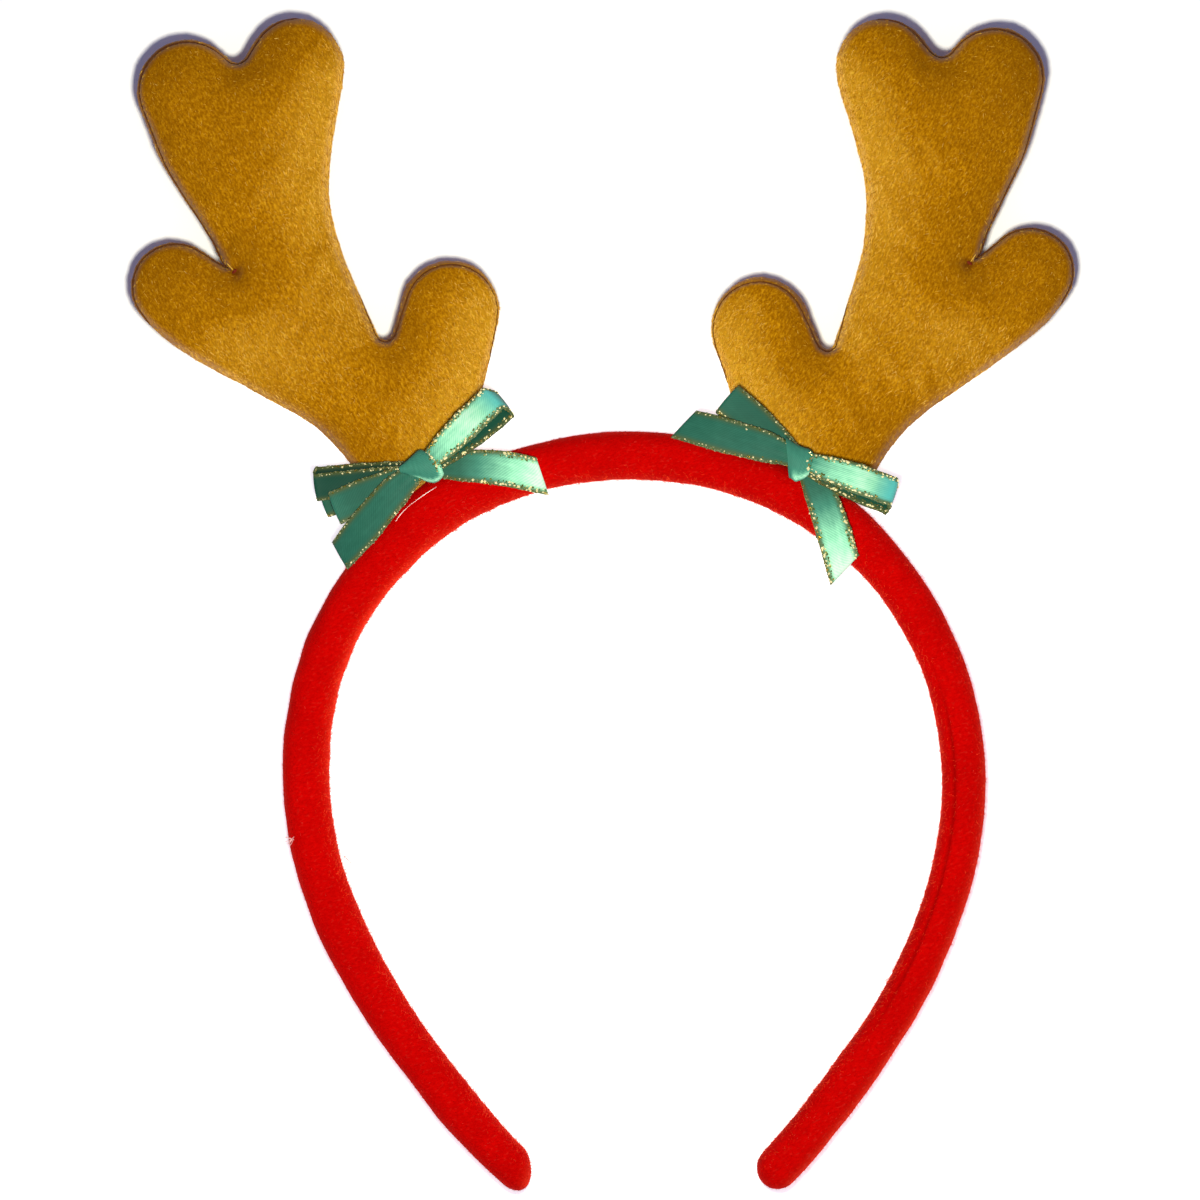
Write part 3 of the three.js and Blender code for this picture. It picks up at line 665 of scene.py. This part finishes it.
# Cloth under pressure with no gravity; the foot stays where it is sewn to the band, and no point moves far.
def swell(piece):
    start = readPoints(piece.data)
    sewn = np.flatnonzero((fromHoop(start / mm) < antler["foot"]["sewn"]) | (start[:, 2] < 0.4 * mm))
    piece.vertex_groups.new(name="sewn").add(sewn.tolist(), 1.0, "REPLACE")
    cloth = piece.modifiers.new("stuffing", "CLOTH")
    cloth.settings.vertex_group_mass = "sewn"
    cloth.settings.use_pressure = True
    cloth.settings.uniform_pressure_force = antler["pressure"]
    cloth.settings.effector_weights.gravity = 0
    cloth.settings.quality = 4
    cloth.point_cache.frame_start = 1
    cloth.point_cache.frame_end = antler["swellFrames"]
    scene = bpy.context.scene
    for step in range(antler["swellFrames"]):
        scene.frame_set(step + 1)
    swollen = piece.evaluated_get(bpy.context.evaluated_depsgraph_get())
    moved = readPoints(swollen.data) - start
    far = np.linalg.norm(moved, axis=1, keepdims=True)
    moved *= np.minimum(1, antler["swellCap"] * mm / np.maximum(far, 1e-9))
    piece.modifiers.clear()
    piece.vertex_groups.clear()
    movePoints(piece, start + moved)
    scene.frame_set(1)
    print("stuffed", piece.name, "moved up to %.2f mm" % (np.linalg.norm(moved, axis=1).max() / mm))


# Smoothing draws the rim in and fills the notches, so steep places go back to the solid in a few rounds: the
# gap to it, averaged over the neighbours, is added along the normal, with a little over for the seam's lip,
# which shows most on the sides away from the middle.
def fillOut(piece, solid):
    skin = skinOf(solid)
    ends = np.empty(len(piece.data.edges) * 2, np.int32)
    piece.data.edges.foreach_get("vertices", ends)
    one, two = ends.reshape(-1, 2).T
    beside = np.bincount(ends)
    lip, foot = antler["lip"], antler["foot"]
    for _ in range(antler["rounds"]):
        points = readPoints(piece.data)
        normals = readPoints(piece.data, "normal")
        nearest = np.array([skin.find_nearest(Vector(p))[0] for p in points])
        away = np.clip((normals[:, :2] * unit(points[:, :2])).sum(1), 0, 1)
        short = ((nearest - points) * normals).sum(1) + (lip[0] + lip[1] * away) * mm
        for _ in range(antler["evening"]):
            short = short + sum(np.bincount(p, short[q], len(points)) for p, q in ((one, two), (two, one)))
            short = short / (1 + beside)
        # the foot keeps its place on the band
        free = rise(fromHoop(points / mm), foot["held"], foot["free"] - foot["held"])
        points += normals * (short * free * (1 - normals[:, 2] ** 2))[:, None]
        movePoints(piece, points)
    rim = np.abs(normals[:, 2]) < 0.3
    print("filled out", piece.name, "rim short by %.2f mm" % (short[rim].mean() / mm))


# The side notch is sewn shut at its foot: points near its middle line move to it, and less and less further
# out.
def closeNotch(piece, side):
    notch = antler["notch"]
    way = np.radians(notch["way"])
    foot, beyond = setAntler([notch["at"], np.add(notch["at"], [np.cos(way), np.sin(way)])], side)
    outward = beyond - foot
    aside = np.array([-outward[1], outward[0]])
    points = readPoints(piece.data) / mm
    far, off = (points[:, :2] - foot) @ outward, (points[:, :2] - foot) @ aside
    pull = rise(far, notch["reach"], notch["shut"] - notch["reach"])
    pull *= rise(far, notch["start"], -notch["start"]) * bell(off, notch["wide"])
    points[:, :2] -= aside * (notch["draw"] * pull * off)[:, None]
    movePoints(piece, points * mm)


# Seam on the surface: the pattern line taken inwards by the shown distance, raised as a round edge is there
# (the root of 2 r d), and brought to the nearest place on the felt.
def seamLine(piece, side):
    plan, shows = patternLine()
    along = unit(np.gradient(plan, axis=0))
    inward = np.stack([-along[:, 1], along[:, 0]], 1)
    flat = setAntler(plan + inward * np.abs(shows)[:, None], side)
    rise = np.sign(shows) * np.sqrt(2 * antler["edgeRound"] * np.abs(shows))
    hung = np.hstack([flat, (antler["level"] + rise)[:, None]])[fromHoop(flat) > antler["foot"]["seam"]]
    skin = skinOf(piece)
    return np.array([skin.find_nearest(Vector(p * mm))[0] for p in hung]) / mm


def nearestDistance(points, line):
    parts = np.array_split(points, max(1, len(points) // 4000))
    return np.concatenate([np.sqrt(((p[:, None] - line[None]) ** 2).sum(-1).min(1)) for p in parts])


# Sewing draws the felt in along the seam, and gathers it at the foot of the side notch. The numbers for the
# felt go on the mesh here: painted crease shade, painted light and shade by the slope toward the lamp, and
# painted sheen on steep places.
def sewSeam(piece, side):
    closeNotch(piece, side)
    line = seamLine(piece, side)
    points = readPoints(piece.data) / mm
    normals = readPoints(piece.data, "normal")
    groove = bell(nearestDistance(points, line), antler["seamSpread"])
    near = np.linalg.norm(points[:, :2] - setAntler(antler["tack"]["at"], side), axis=1)
    gather = bell(near, antler["pucker"]["reach"])
    sunk = antler["seamDepth"] * groove + antler["pucker"]["depth"] * gather
    points -= normals * (sunk - lumpiness(points, antler["lumps"]))[:, None]
    movePoints(piece, points * mm)
    normals = readPoints(piece.data, "normal")
    spot = bell(near, antler["pucker"]["spot"])
    # painted shade: the foot's edge is in the dark between ribbon and band
    underRibbonShade = rise(fromHoop(points), antler["foot"]["dark"], -1)
    dark = antler["dark"]
    crease = dark["seam"] * groove + dark["spot"] * spot + dark["gather"] * gather + dark["foot"] * underRibbonShade
    inner = points[:, :2] - np.array(antler["sides"][side]["at"])
    inner = inner @ (setAntler([1.0, 0.0], side) - setAntler([0.0, 0.0], side))[0]
    # painted light and shade: the slope toward the middle, lifted toward the inner tine and at the painted
    # light spots
    slope = (normals[:, :2] * unit(points[:, :2])).sum(1) - antler["paintedLightInward"] * np.maximum(inner, 0)
    for x, y, spread, amount in antler["paintedLight"]:
        slope -= amount * bell(np.linalg.norm(points[:, :2] - setAntler([x, y], side), axis=1), spread)
    # painted sheen on steep places, none underneath and little at the tack
    paintedSheenVeil = antler["paintedSheenVeil"]
    paintedSheen = np.where(points[:, 1] > paintedSheenVeil["line"], paintedSheenVeil["tines"], paintedSheenVeil["feet"]) * (1 - spot)
    paintedSheen = paintedSheen * np.clip(1 + 1.5 * normals[:, 2], 0, 1)  # none underneath
    paintedSheen = paintedSheen * rise(normals[:, 2], paintedSheenVeil["steep"], -paintedSheenVeil["steep"]) ** paintedSheenVeil["power"]
    addNumbers(piece, crease=np.clip(crease, 0, 1), slope=slope, steep=paintedSheen)
    return line


for side in ("left", "right"):
    felt = stuffedFelt(side)
    seam = sewSeam(felt, side)
    felt.data.polygons.foreach_set("use_smooth", np.ones(len(felt.data.polygons), bool))
    dress(felt, "brown_felt", "antler_" + side)
    hand = antler["sides"][side]["hand"]
    combed = np.array(antler["comb"]) * [hand, 1, 1]
    slope = np.empty(len(felt.data.vertices), np.float32)
    felt.data.attributes["slope"].data.foreach_get("value", slope)
    for name, looks in (("nap", brownNap), ("streaks", brownNap + strawNap)):
        settings = dict(antler[name], seed=antler[name]["seed"] + hand)
        usual, change, least, most = settings["chance"]
        chance = np.clip(usual + change * slope, least, most)
        nap = brushNap("antler_%s_%s" % (name, side), felt, looks, settings,
                       lambda root: np.tile(combed, (len(root), 1)), chance)
        dress(nap, "brown_felt")
    tubePoints, tubeFaces = threadTube(seam - [0, 0, 0.1], antler["thread"])
    stitchLine = makePiece("antler_seam_" + side, tubePoints, tubeFaces, [seamThread])
    dress(stitchLine, "brown_felt")
    t = np.linspace(-0.5, 0.5, 7)[:, None]
    plump = np.sqrt(1.05 - 4 * t[:, 0] ** 2)
    tubes = []
    for thread in (antler["tack"], antler["fray"]):
        flat = setAntler(thread["at"] + t * thread["way"], side)
        tubes.append(threadTube(overFelt(felt, flat, thread["clear"]), thread["radius"] * plump, 8))
    kinds = np.repeat([0, 1], [sum(len(f) for f in faces) for _, faces in tubes])
    tack = makePiece("antler_tack_" + side, *joinTubes(tubes), [tackThread, brownNap[2]], kinds=kinds)
    dress(tack, "brown_felt")
    print("antler made:", side, len(felt.data.polygons), "faces")


# Bows: narrow satin ribbon with a gold thread woven along both edges

# the spread is the width by the knot, a third of the way out and beyond; the cut is the length of a slanted
# end; the edge is where the gold starts in shares of the half width, over how much, and how much deeper it is
ribbon = {"spread": (3.5, 5.3, 6.8), "thick": 0.34, "crown": 0.2, "sway": (0.08, 9), "cut": 4,
          "pleat": {"depth": 0.16, "fade": 3.0, "waves": 3.0}, "edge": (0.68, 0.14), "edgeDark": 0.45,
          "edgeGilt": (0.35, 0.3), "brightFrom": 0.7, "glint": 0.6, "sky": 0.85, "across": 15, "steps": 12}
# a knot: the way it points, width, reach of its two ends, slant of the ends and where it stops, where its
# painted highlights go, then its girth and sideways drift from end to end
# a loop is a list of folds, each out along its front half and back along the half behind it:
# heading, shift to the left, reach and height of each half; painted light tones from the knot to the fold,
# then the painted shade behind it
# a tail: heading, shift, reach and bow, then the heights of its two ends; its tones are painted light
bows = {
    "left": {
        "at": (-35.8, 26.8, 13.95),
        "knot": {"axis": 18, "across": 6.9, "ends": (4.8, 3.0), "lean": (0, -0.55), "leanStop": -0.7,
                 "shineEnd": 0.86, "low": (0.84, 0.08), "girth": (0.16, 0.42, 0.7, 0.98, 1.04, 0.98, 0.74),
                 "drift": (1.0, 0.75, 0.5, 0.25, 0, 0, 0)},
        "loops": {
            "inner": [{"front": (43.6, 0.4, 19.4, 4.9), "back": (40, -0.9, 20.3, 2.9), "roll": -30,
                       "tone": (0.44, 0.88, 0.9, 0.6), "behind": 0.14, "wide": 1}],
            "outer": [{"front": (203.5, 0.4, 19.5, 2.8), "back": (203.5, 0.4, 19.2, 2.3), "roll": 0,
                       "tone": (0.25, 0.22, 0.21, 0.3), "behind": 0.12, "wide": 1},
                      {"front": (186, 1.7, 21.8, 1.8), "back": (186, 0.4, 21.5, 1.2), "roll": 0,
                       "tone": (0.02, 0.05, 0.08, 0.09), "behind": 0.0, "wide": 0.8},
                      {"front": (197.5, 0.3, 21.2, 0.7), "back": (197.5, 0.3, 20.8, 0.3), "roll": 0,
                       "tone": (0.08, 0.12, 0.18, 0.2), "behind": 0.05, "wide": 1}],
        },
        "tails": {
            "inner": {"line": (-5, 0.3, 23.6, 0.9), "drop": (0.7, -0.8), "roll": 8, "slant": -0.46,
                      "tone": (0.2, 0.27, 0.74, 1.0)},
            "outer": {"line": (229.5, -1.3, 24.3, 0), "drop": (4.4, 3.2), "roll": 32, "slant": 0.3,
                      "tone": (0.28, 0.27, 0.26, 0.26)},
        },
    },
    "right": {
        "at": (39.2, 28.0, 14.35),
        "knot": {"axis": -15, "across": 8.4, "ends": (2.85, 2.15), "lean": (-0.36, 0), "leanStop": -9,
                 "shineEnd": -2, "low": (0.78, 0.12), "girth": (0.92, 0.86, 0.84, 0.84, 0.79, 0.7, 0.52),
                 "drift": (0.1, -0.25, -0.55, -0.7, -0.5, -0.35, -0.2)},
        "loops": {
            "outer": [{"front": (-20.6, 0.7, 19.2, 4.9), "back": (-22.6, -0.4, 19.5, 3.3), "roll": -30,
                       "tone": (0.38, 0.8, 0.88, 0.5), "behind": 0.14, "wide": 1}],
            "inner": [{"front": (140, -0.2, 19.1, 2.3), "back": (140.4, 0, 18.9, 1.6), "roll": 0,
                       "tone": (0.2, 0.19, 0.2, 0.25), "behind": 0.06, "wide": 1}],
        },
        "tails": {
            "outer": {"line": (-71, 1.2, 23.4, 0.4), "drop": (0.7, -1.3), "roll": 0, "slant": -0.56,
                      "tone": (0.2, 0.3, 0.8, 1.0)},
            "inner": {"line": (164.5, -0.9, 24.5, 0), "drop": (4.4, 3.4), "roll": 20, "slant": 0.5,
                      "tone": (0.27, 0.26, 0.26, 0.26)},
        },
    },
}
# stations of a tail: share of its reach, sway of its shift, share of its bow, fall, twist, width
tailStations = [(0.03, 0.5, 0, 0, 0, 3.5), (0.3, 1, 0.8, 0, 0.2, 6.3), (0.65, 1, 1, 0.2, 0.33, 7.0),
                (1, 1, 0, 1, 1, 7.0)]
# rows of gold stitches from the edge inwards: distance in, spacing, length and width, growth in the light,
# share left out in the shade and in the light, and the mix of thread looks in the shade and in the light
gold = {
    "seed": 51,
    "height": 0.32,
    "shine": (0.25, 0.45),
    "stray": 0.36,
    "rows": [
        {"in": 0.15, "gap": 0.42, "size": (0.56, 0.3), "grow": 0, "spare": (0.05, 0.2),
         "shade": (0.02, 0.1, 0.6, 0.28), "light": (0.16, 0.26, 0.14, 0.44)},
        {"in": 0.45, "gap": 0.74, "size": (0.46, 0.34), "grow": 0.6, "spare": (0.4, 0.1),
         "shade": (0.46, 0.34, 0.2, 0), "light": (0.66, 0.28, 0, 0.06)},
        {"in": 0.98, "gap": 0.55, "size": (0.44, 0.32), "grow": 0.3, "spare": (1, 0.25),
         "shade": (0.3, 0.3, 0.1, 0.3), "light": (0.3, 0.32, 0, 0.38)},
    ],
}


# A station: the middle of the ribbon, the way across it, its width and its tone.
def station(heading, reach, shift, height, roll, width, tone):
    h, r = np.radians(heading), np.radians(roll)
    return [reach * np.cos(h) - shift * np.sin(h), reach * np.sin(h) + shift * np.cos(h), height,
            -np.sin(h) * np.cos(r), np.cos(h) * np.cos(r), np.sin(r), width, tone]


# A fold: five stations out to the crease and five back, gathered and unrolled toward the knot.
def foldRows(fold):
    shares = np.array([0.04, 0.3, 0.68, 0.95, 1.0])
    rows = []
    for half, order in (("front", shares), ("back", shares[::-1])):
        heading, shift, reach, height = fold[half]
        for share in order:
            lift, tone = 0, fold["behind"]
            if half == "front":
                lift = np.interp(share, [0.04, 0.3, 0.68, 1], [-0.2, 0.1, 0.3, 0])
                tone = np.interp(share, [0.04, 0.4, 0.75, 1], fold["tone"])
            rows.append(station(heading, reach * share, shift * min(1, share + 0.4), height + lift,
                                fold["roll"] * np.interp(share, [0.04, 0.3, 0.68], [0, 0.5, 1]),
                                fold["wide"] * np.interp(share, [0.04, 0.3, 0.68], ribbon["spread"]), tone))
    return rows


def tailRows(tail):
    heading, shift, reach, bow = tail["line"]
    high, low = tail["drop"]
    return [station(heading, reach * share, shift * sway + bow * bent, high + (low - high) * fall,
                    tail["roll"] * twist, width, np.interp(share, [0, 0.35, 0.7, 1], tail["tone"]))
            for share, sway, bent, fall, twist, width in tailStations]


# Ribbon strip: the centre line is a smooth curve through the stations; across it the ribbon is crowned, and
# gathered into shallow pleats near the knot. Returns its two edge lines for the gold thread.
def makeStrand(side, part, folds, slant=0.0, seed=0):
    points, faces, lengthwise, crosswise, tones, gilt, sky, edges = ([] for _ in range(8))
    first = 0
    v = np.linspace(-1, 1, ribbon["across"])[None, :]
    for rows in folds:
        rows = np.array(rows)
        line = curveThrough(rows[:, :3], ribbon["steps"]) + np.array(bows[side]["at"])
        place = np.linspace(0, len(rows) - 1, len(line))
        ways = readAlong(place, np.arange(len(rows)), rows[:, 3:])
        width, tone = ways[:, 3:4], ways[:, 4:5]
        along = unit(np.gradient(line, axis=0))
        across = unit(ways[:, :3])
        out = unit(np.cross(along, across))
        run = runAlong(line)
        fromKnot = run if slant else np.minimum(run, run[-1] - run)
        pleat = ribbon["pleat"]
        deep = pleat["depth"] * np.exp(-fromKnot / pleat["fade"])[:, None]
        gather = deep * np.cos(pleat["waves"] * np.pi * v)
        hand = np.sign(out[:, 2:])  # the crown keeps to the upper side on both halves of a fold
        crown = hand * (ribbon["crown"] * (1 - v**2) + gather)
        crown = crown + lumpiness(run[:, None], [(*ribbon["sway"], seed)])[:, None] * v
        cut = slant * rise(run, run[-1] - ribbon["cut"], ribbon["cut"])[:, None]
        half = width / 2 * v
        flat = line[:, None] + across[:, None] * half[..., None] + along[:, None] * (half * cut)[..., None]
        mid = flat + out[:, None] * crown[..., None]
        thick = out[:, None] * ribbon["thick"] / 2
        rings = np.concatenate([mid - thick, (mid + thick)[:, ::-1]], 1)  # round the section, back first
        sides = rings.shape[1]
        cell = np.arange(ribbon["across"] - 1)
        cap = np.stack([cell, cell + 1, sides - 2 - cell, sides - 1 - cell], 1)
        faces += [first + tubeQuads(len(line), sides), first + cap[:, ::-1],
                  first + cap + (len(line) - 1) * sides]
        points.append(rings.reshape(-1, 3))
        first += rings.shape[0] * sides
        lengthwise.append(np.repeat(run, sides))
        crosswise.append(np.concatenate([half, half[:, ::-1]], 1).ravel())
        fromMiddle = np.abs(half) * 2 / width
        edge = rise(np.concatenate([fromMiddle, fromMiddle[:, ::-1]], 1), *ribbon["edge"])
        tones.append((tone * (1 - ribbon["edgeDark"] * edge)).ravel())  # deeper between the gold stitches
        inShade, inLight = ribbon["edgeGilt"]
        gilt.append((edge * (inShade + inLight * np.clip(tone, 0, 1))).ravel())
        bright = not slant and tone.max() > ribbon["brightFrom"]
        # painted highlight: the gold stitches of a bright loop take the lit thread looks all round
        glint = ribbon["glint"] * bright  # a loop in the light sparkles all round
        # painted reflection: its fold gives back the blue of the sky
        fold = rise(fromKnot / fromKnot.max(), 0.72, 0.2) * rise(tone[:, 0], 0.3, 0.25)
        sky.append(np.repeat(ribbon["sky"] * bright * fold, sides) * (1 - edge.ravel()))
        for rim, within in ((0, 1), (-1, -2)):
            edges.append((mid[:, rim], mid[:, within], out, np.maximum(tone[:, 0], glint), (1, -1)))
    piece = makePiece("ribbon_%s_%s" % (side, part), np.vstack(points), faces, [satin])
    addWeaveMap(piece, np.concatenate(lengthwise), np.concatenate(crosswise))
    addNumbers(piece, tone=np.clip(np.concatenate(tones), 0, 1), gilt=np.concatenate(gilt),
               sky=np.concatenate(sky))
    dress(piece, "green_satin", "bow_%s_%s" % (side, part))
    return edges


# Gold edge: faceted stitches in staggered rows along each edge, on both faces of the ribbon, each turned a
# little; where the satin's painted tone is light they are larger and take more of the painted-glint thread.
def goldStitches(side, edges):
    random = np.random.default_rng(gold["seed"])
    spots, ways, outs, sizes, kinds = ([] for _ in range(5))
    for rim, within, out, tone, faces in edges:
        run = runAlong(rim)
        inward = unit(within - rim)
        for row in gold["rows"]:
            for face in faces:
                s = np.arange(0.2 + 0.4 * random.random(), run[-1] - 0.1, row["gap"])
                s = s + random.uniform(-gold["stray"], gold["stray"], len(s)) * row["gap"]
                shine = rise(np.interp(s, run, tone), *gold["shine"])
                keep = random.random(len(s)) >= row["spare"][0] * (1 - shine) + row["spare"][1] * shine
                s, shine = s[keep], shine[keep][:, None]
                line = rim + inward * row["in"] + face * out * (ribbon["thick"] / 2 + 0.04)
                spots.append(readAlong(s, run, line))
                ways.append(readAlong(s, run, np.gradient(rim, run, axis=0)))
                outs.append(readAlong(s, run, out))
                sizes.append(np.array([*row["size"], gold["height"]]) * (1 + row["grow"] * shine))
                mix = np.array(row["shade"]) * (1 - shine) + np.array(row["light"]) * shine
                kinds.append((random.random((len(s), 1)) > np.cumsum(mix, 1)[:, :-1]).sum(1))
    spots, ways, outs = np.vstack(spots), unit(np.vstack(ways)), unit(np.vstack(outs))
    count = len(spots)
    turn = np.radians(random.choice([-28, 28], count) + random.normal(0, 14, count))[:, None]
    longWay = np.cos(turn) * ways + np.sin(turn) * unit(np.cross(outs, ways))
    wideWay = np.cross(outs, longWay)
    half = np.vstack(sizes) * random.uniform(0.6, 1.3, (count, 1)) / 2
    spots = spots + wideWay * random.normal(0, 0.09, (count, 1))
    tips = [longWay * half[:, :1], wideWay * half[:, 1:2], outs * half[:, 2:]]
    points = np.stack([spots + hand * tip for tip in tips for hand in (1, -1)], 1).reshape(-1, 3)
    facets = np.array([[0, 2, 4], [2, 1, 4], [1, 3, 4], [3, 0, 4],
                       [2, 0, 5], [1, 2, 5], [3, 1, 5], [0, 3, 5]])
    faces = (np.arange(count)[:, None, None] * 6 + facets).reshape(-1, 3)
    piece = makePiece("ribbon_%s_gold_edge" % side, points, [faces], goldThread, smooth=False,
                      kinds=np.repeat(np.concatenate(kinds), len(facets)))
    dress(piece, "green_satin")
    return count


# Knot: the ribbon wrapped round the middle of the bow. Along its axis t and round it w the section is a
# rounded oval whose girth and drift run smoothly from end to end, with faint folds round it. Its upper side
# stays high, so that a thin end lies over the strands, and its ends are cut at a slant.
def makeKnot(side, height=6.2, flute=0.85, fluteDepth=0.016, squareness=0.86):
    bow = bows[side]
    knot = bow["knot"]
    axis = np.radians(knot["axis"])
    along = np.array([np.cos(axis), np.sin(axis), 0])
    aside = np.array([-along[1], along[0], 0])
    rows = np.stack([np.linspace(-1, 1, 7), knot["girth"], knot["drift"]], 1)
    t, girth, drift = curveThrough(rows, 8).T[..., None]
    reach = np.where(t < 0, t * knot["ends"][0], t * knot["ends"][1])
    w = np.linspace(0, 2 * np.pi, 64, endpoint=False)
    wave = np.cos(2 * np.pi * reach / flute)
    size = girth + fluteDepth * wave * np.clip(np.sin(w) - 0.2 * np.cos(w), 0, 1)
    section = squaredCircle(w, squareness)
    offset = drift + knot["across"] / 2 * size * section[:, 0]
    lean = np.where(t < 0, -t * knot["lean"][0], t * knot["lean"][1])
    far = reach + lean * np.maximum(offset, knot["leanStop"])
    points = np.array(bow["at"]) + far[..., None] * along + offset[..., None] * aside
    points[..., 2] += height * (0.985 - 0.12 * (1 - np.minimum(size, 1)))
    points[..., 2] -= height / 2 * size * (1 - section[:, 1])
    rings, sides = size.shape
    piece = makePiece("ribbon_%s_knot" % side, points.reshape(-1, 3), closedTube(rings, sides), [satin])
    around = np.broadcast_to(w * knot["across"] / 2, size.shape)
    addWeaveMap(piece, around.ravel(), np.broadcast_to(reach, size.shape).ravel())
    # painted highlight along the lower rim and at one end of the knot
    turn = w[None, :] / np.pi
    low = bell(turn - knot["low"][0], knot["low"][1]) * rise(t, -0.75, 0.4)
    end = bell(t - knot["shineEnd"], 0.16) * rise(turn, 0.4, 0.2) * (turn < 1)
    lit = 0.4 + 0.03 * t + 0.5 * np.maximum(low, end) * (0.8 + 0.2 * wave * np.cos(20 * w))
    addNumbers(piece, tone=np.clip(lit, 0, 1).ravel())
    dress(piece, "green_satin", "bow_%s_knot" % side)
    over = slice(3, int(sides * 0.34))  # its gold edge shows on the upper side, at the far end
    rim = points[rings - 2, over]
    out = unit(rim - points[rings - 2].mean(0))
    # the gold stitches there take painted light, more toward the end of the edge
    return [(rim, points[rings - 5, over], out, np.linspace(0.15, 0.9, len(rim)), (1,))]


for side, bow in bows.items():
    edges = makeKnot(side)
    for k, (end, loop) in enumerate(bow["loops"].items()):
        edges += makeStrand(side, "loop_" + end, [foldRows(fold) for fold in loop], seed=61 + k)
    for k, (end, tail) in enumerate(bow["tails"].items()):
        edges += makeStrand(side, "tail_" + end, [tailRows(tail)], slant=tail["slant"], seed=71 + k)
    print("bow made:", side, goldStitches(side, edges), "gold stitches")


# Small things: a hair of clear glue on the band by the left bow, coloured with a painted glint, and lint on
# the left arm

small = {
    "glue": {"path": [(-33.4, 23.0), (-35.9, 21.4), (-39.0, 19.1), (-40.6, 17.5), (-41.6, 16.1)],
             "radius": (0.03, 0.1, 0.04, 0.1, 0.05)},
    "lint": {"tufts": [(-62.2, -47.4, 16, 1.9), (-52.0, -51.0, 4, 2.2)], "thick": 0.11, "seed": 81},
}

glueLine = overFelt(feltBand, curveThrough(small["glue"]["path"], 10), 0.12)
glueRadius = curveThrough(np.array(small["glue"]["radius"])[:, None], 10)[:, 0]
gluePoints, glueFaces = threadTube(glueLine, glueRadius)
glueHair = makePiece("glue_hair", gluePoints, glueFaces, [clearGlue])
dress(glueHair, "red_felt")

lintRandom = np.random.default_rng(small["lint"]["seed"])
hairs = []
t = np.linspace(0, 1, 7)[:, None]
for x, y, count, reach in small["lint"]["tufts"]:
    root = overFelt(feltBand, [(x, y)], 0.1)[0]
    for k in range(count):
        way = unit(lintRandom.normal(size=3) * [1, 1, 0.35] + [0, 0, 0.35])
        bend = unit(lintRandom.normal(size=3)) * 0.35 * reach
        hair = root + reach * lintRandom.uniform(0.5, 1) * t * way + bend * t * (t - 1)
        hairs.append(threadTube(hair, small["lint"]["thick"] / 2, 4))
lint = makePiece("band_lint", *joinTubes(hairs), [paleLint])
dress(lint, "red_felt")
print("small things made")


# Table, light and camera; distances in metres, the view in mm

stage = {"floor": 3.0, "viewHeight": 2.0, "viewCentre": (-0.8, 0.4), "viewWidth": 240.0,
         "ambient": "#B0B8EE", "ambientPower": 0.37,
         "key": {"at": (0, -0.012, 0.53), "size": 0.07, "power": 3.1, "colour": "#FFFDEA"},
         "card": {"at": (0.42, -0.12, 0.62), "size": 0.3, "power": 0.5, "colour": "#FFFFFF"}}

half = stage["floor"] / 2
corner = np.array([[-half, -half, 0], [half, -half, 0], [half, half, 0], [-half, half, 0]]) / mm
table = makePiece("table", corner, [np.array([[0, 1, 2, 3]])], [paleTable], smooth=False)


# Round lamp that looks at the middle of the table.
def addLight(name):
    lamp = bpy.data.lights.new(name, "AREA")
    lamp.shape = "DISK"
    lamp.size = stage[name]["size"]
    lamp.energy = stage[name]["power"]
    lamp.color = linear(stage[name]["colour"])[:3]
    light = bpy.data.objects.new(name, lamp)
    light.location = stage[name]["at"]
    light.rotation_euler = (-Vector(stage[name]["at"])).to_track_quat("-Z", "Y").to_euler()
    bpy.context.scene.collection.objects.link(light)
    return light


addLight("key")
addLight("card").visible_diffuse = False  # a white card that shows only as a shine on the satin
world = bpy.data.worlds.new("room")
bpy.context.scene.world = world
world.use_nodes = True
fillIn(world.node_tree, world.node_tree.nodes["Background"],
       {"Color": linear(stage["ambient"]), "Strength": stage["ambientPower"]})

lens = bpy.data.cameras.new("overhead")
lens.sensor_width = 36.0
lens.lens = lens.sensor_width * stage["viewHeight"] / (stage["viewWidth"] * mm)
lens.clip_end = 20.0
camera = bpy.data.objects.new("overhead", lens)
viewX, viewY = stage["viewCentre"]
camera.location = (viewX * mm, viewY * mm, stage["viewHeight"] + antler["level"] * mm)
bpy.context.scene.collection.objects.link(camera)
bpy.context.scene.camera = camera
bpy.context.scene.view_settings.view_transform = "Standard"

print("scene ready")
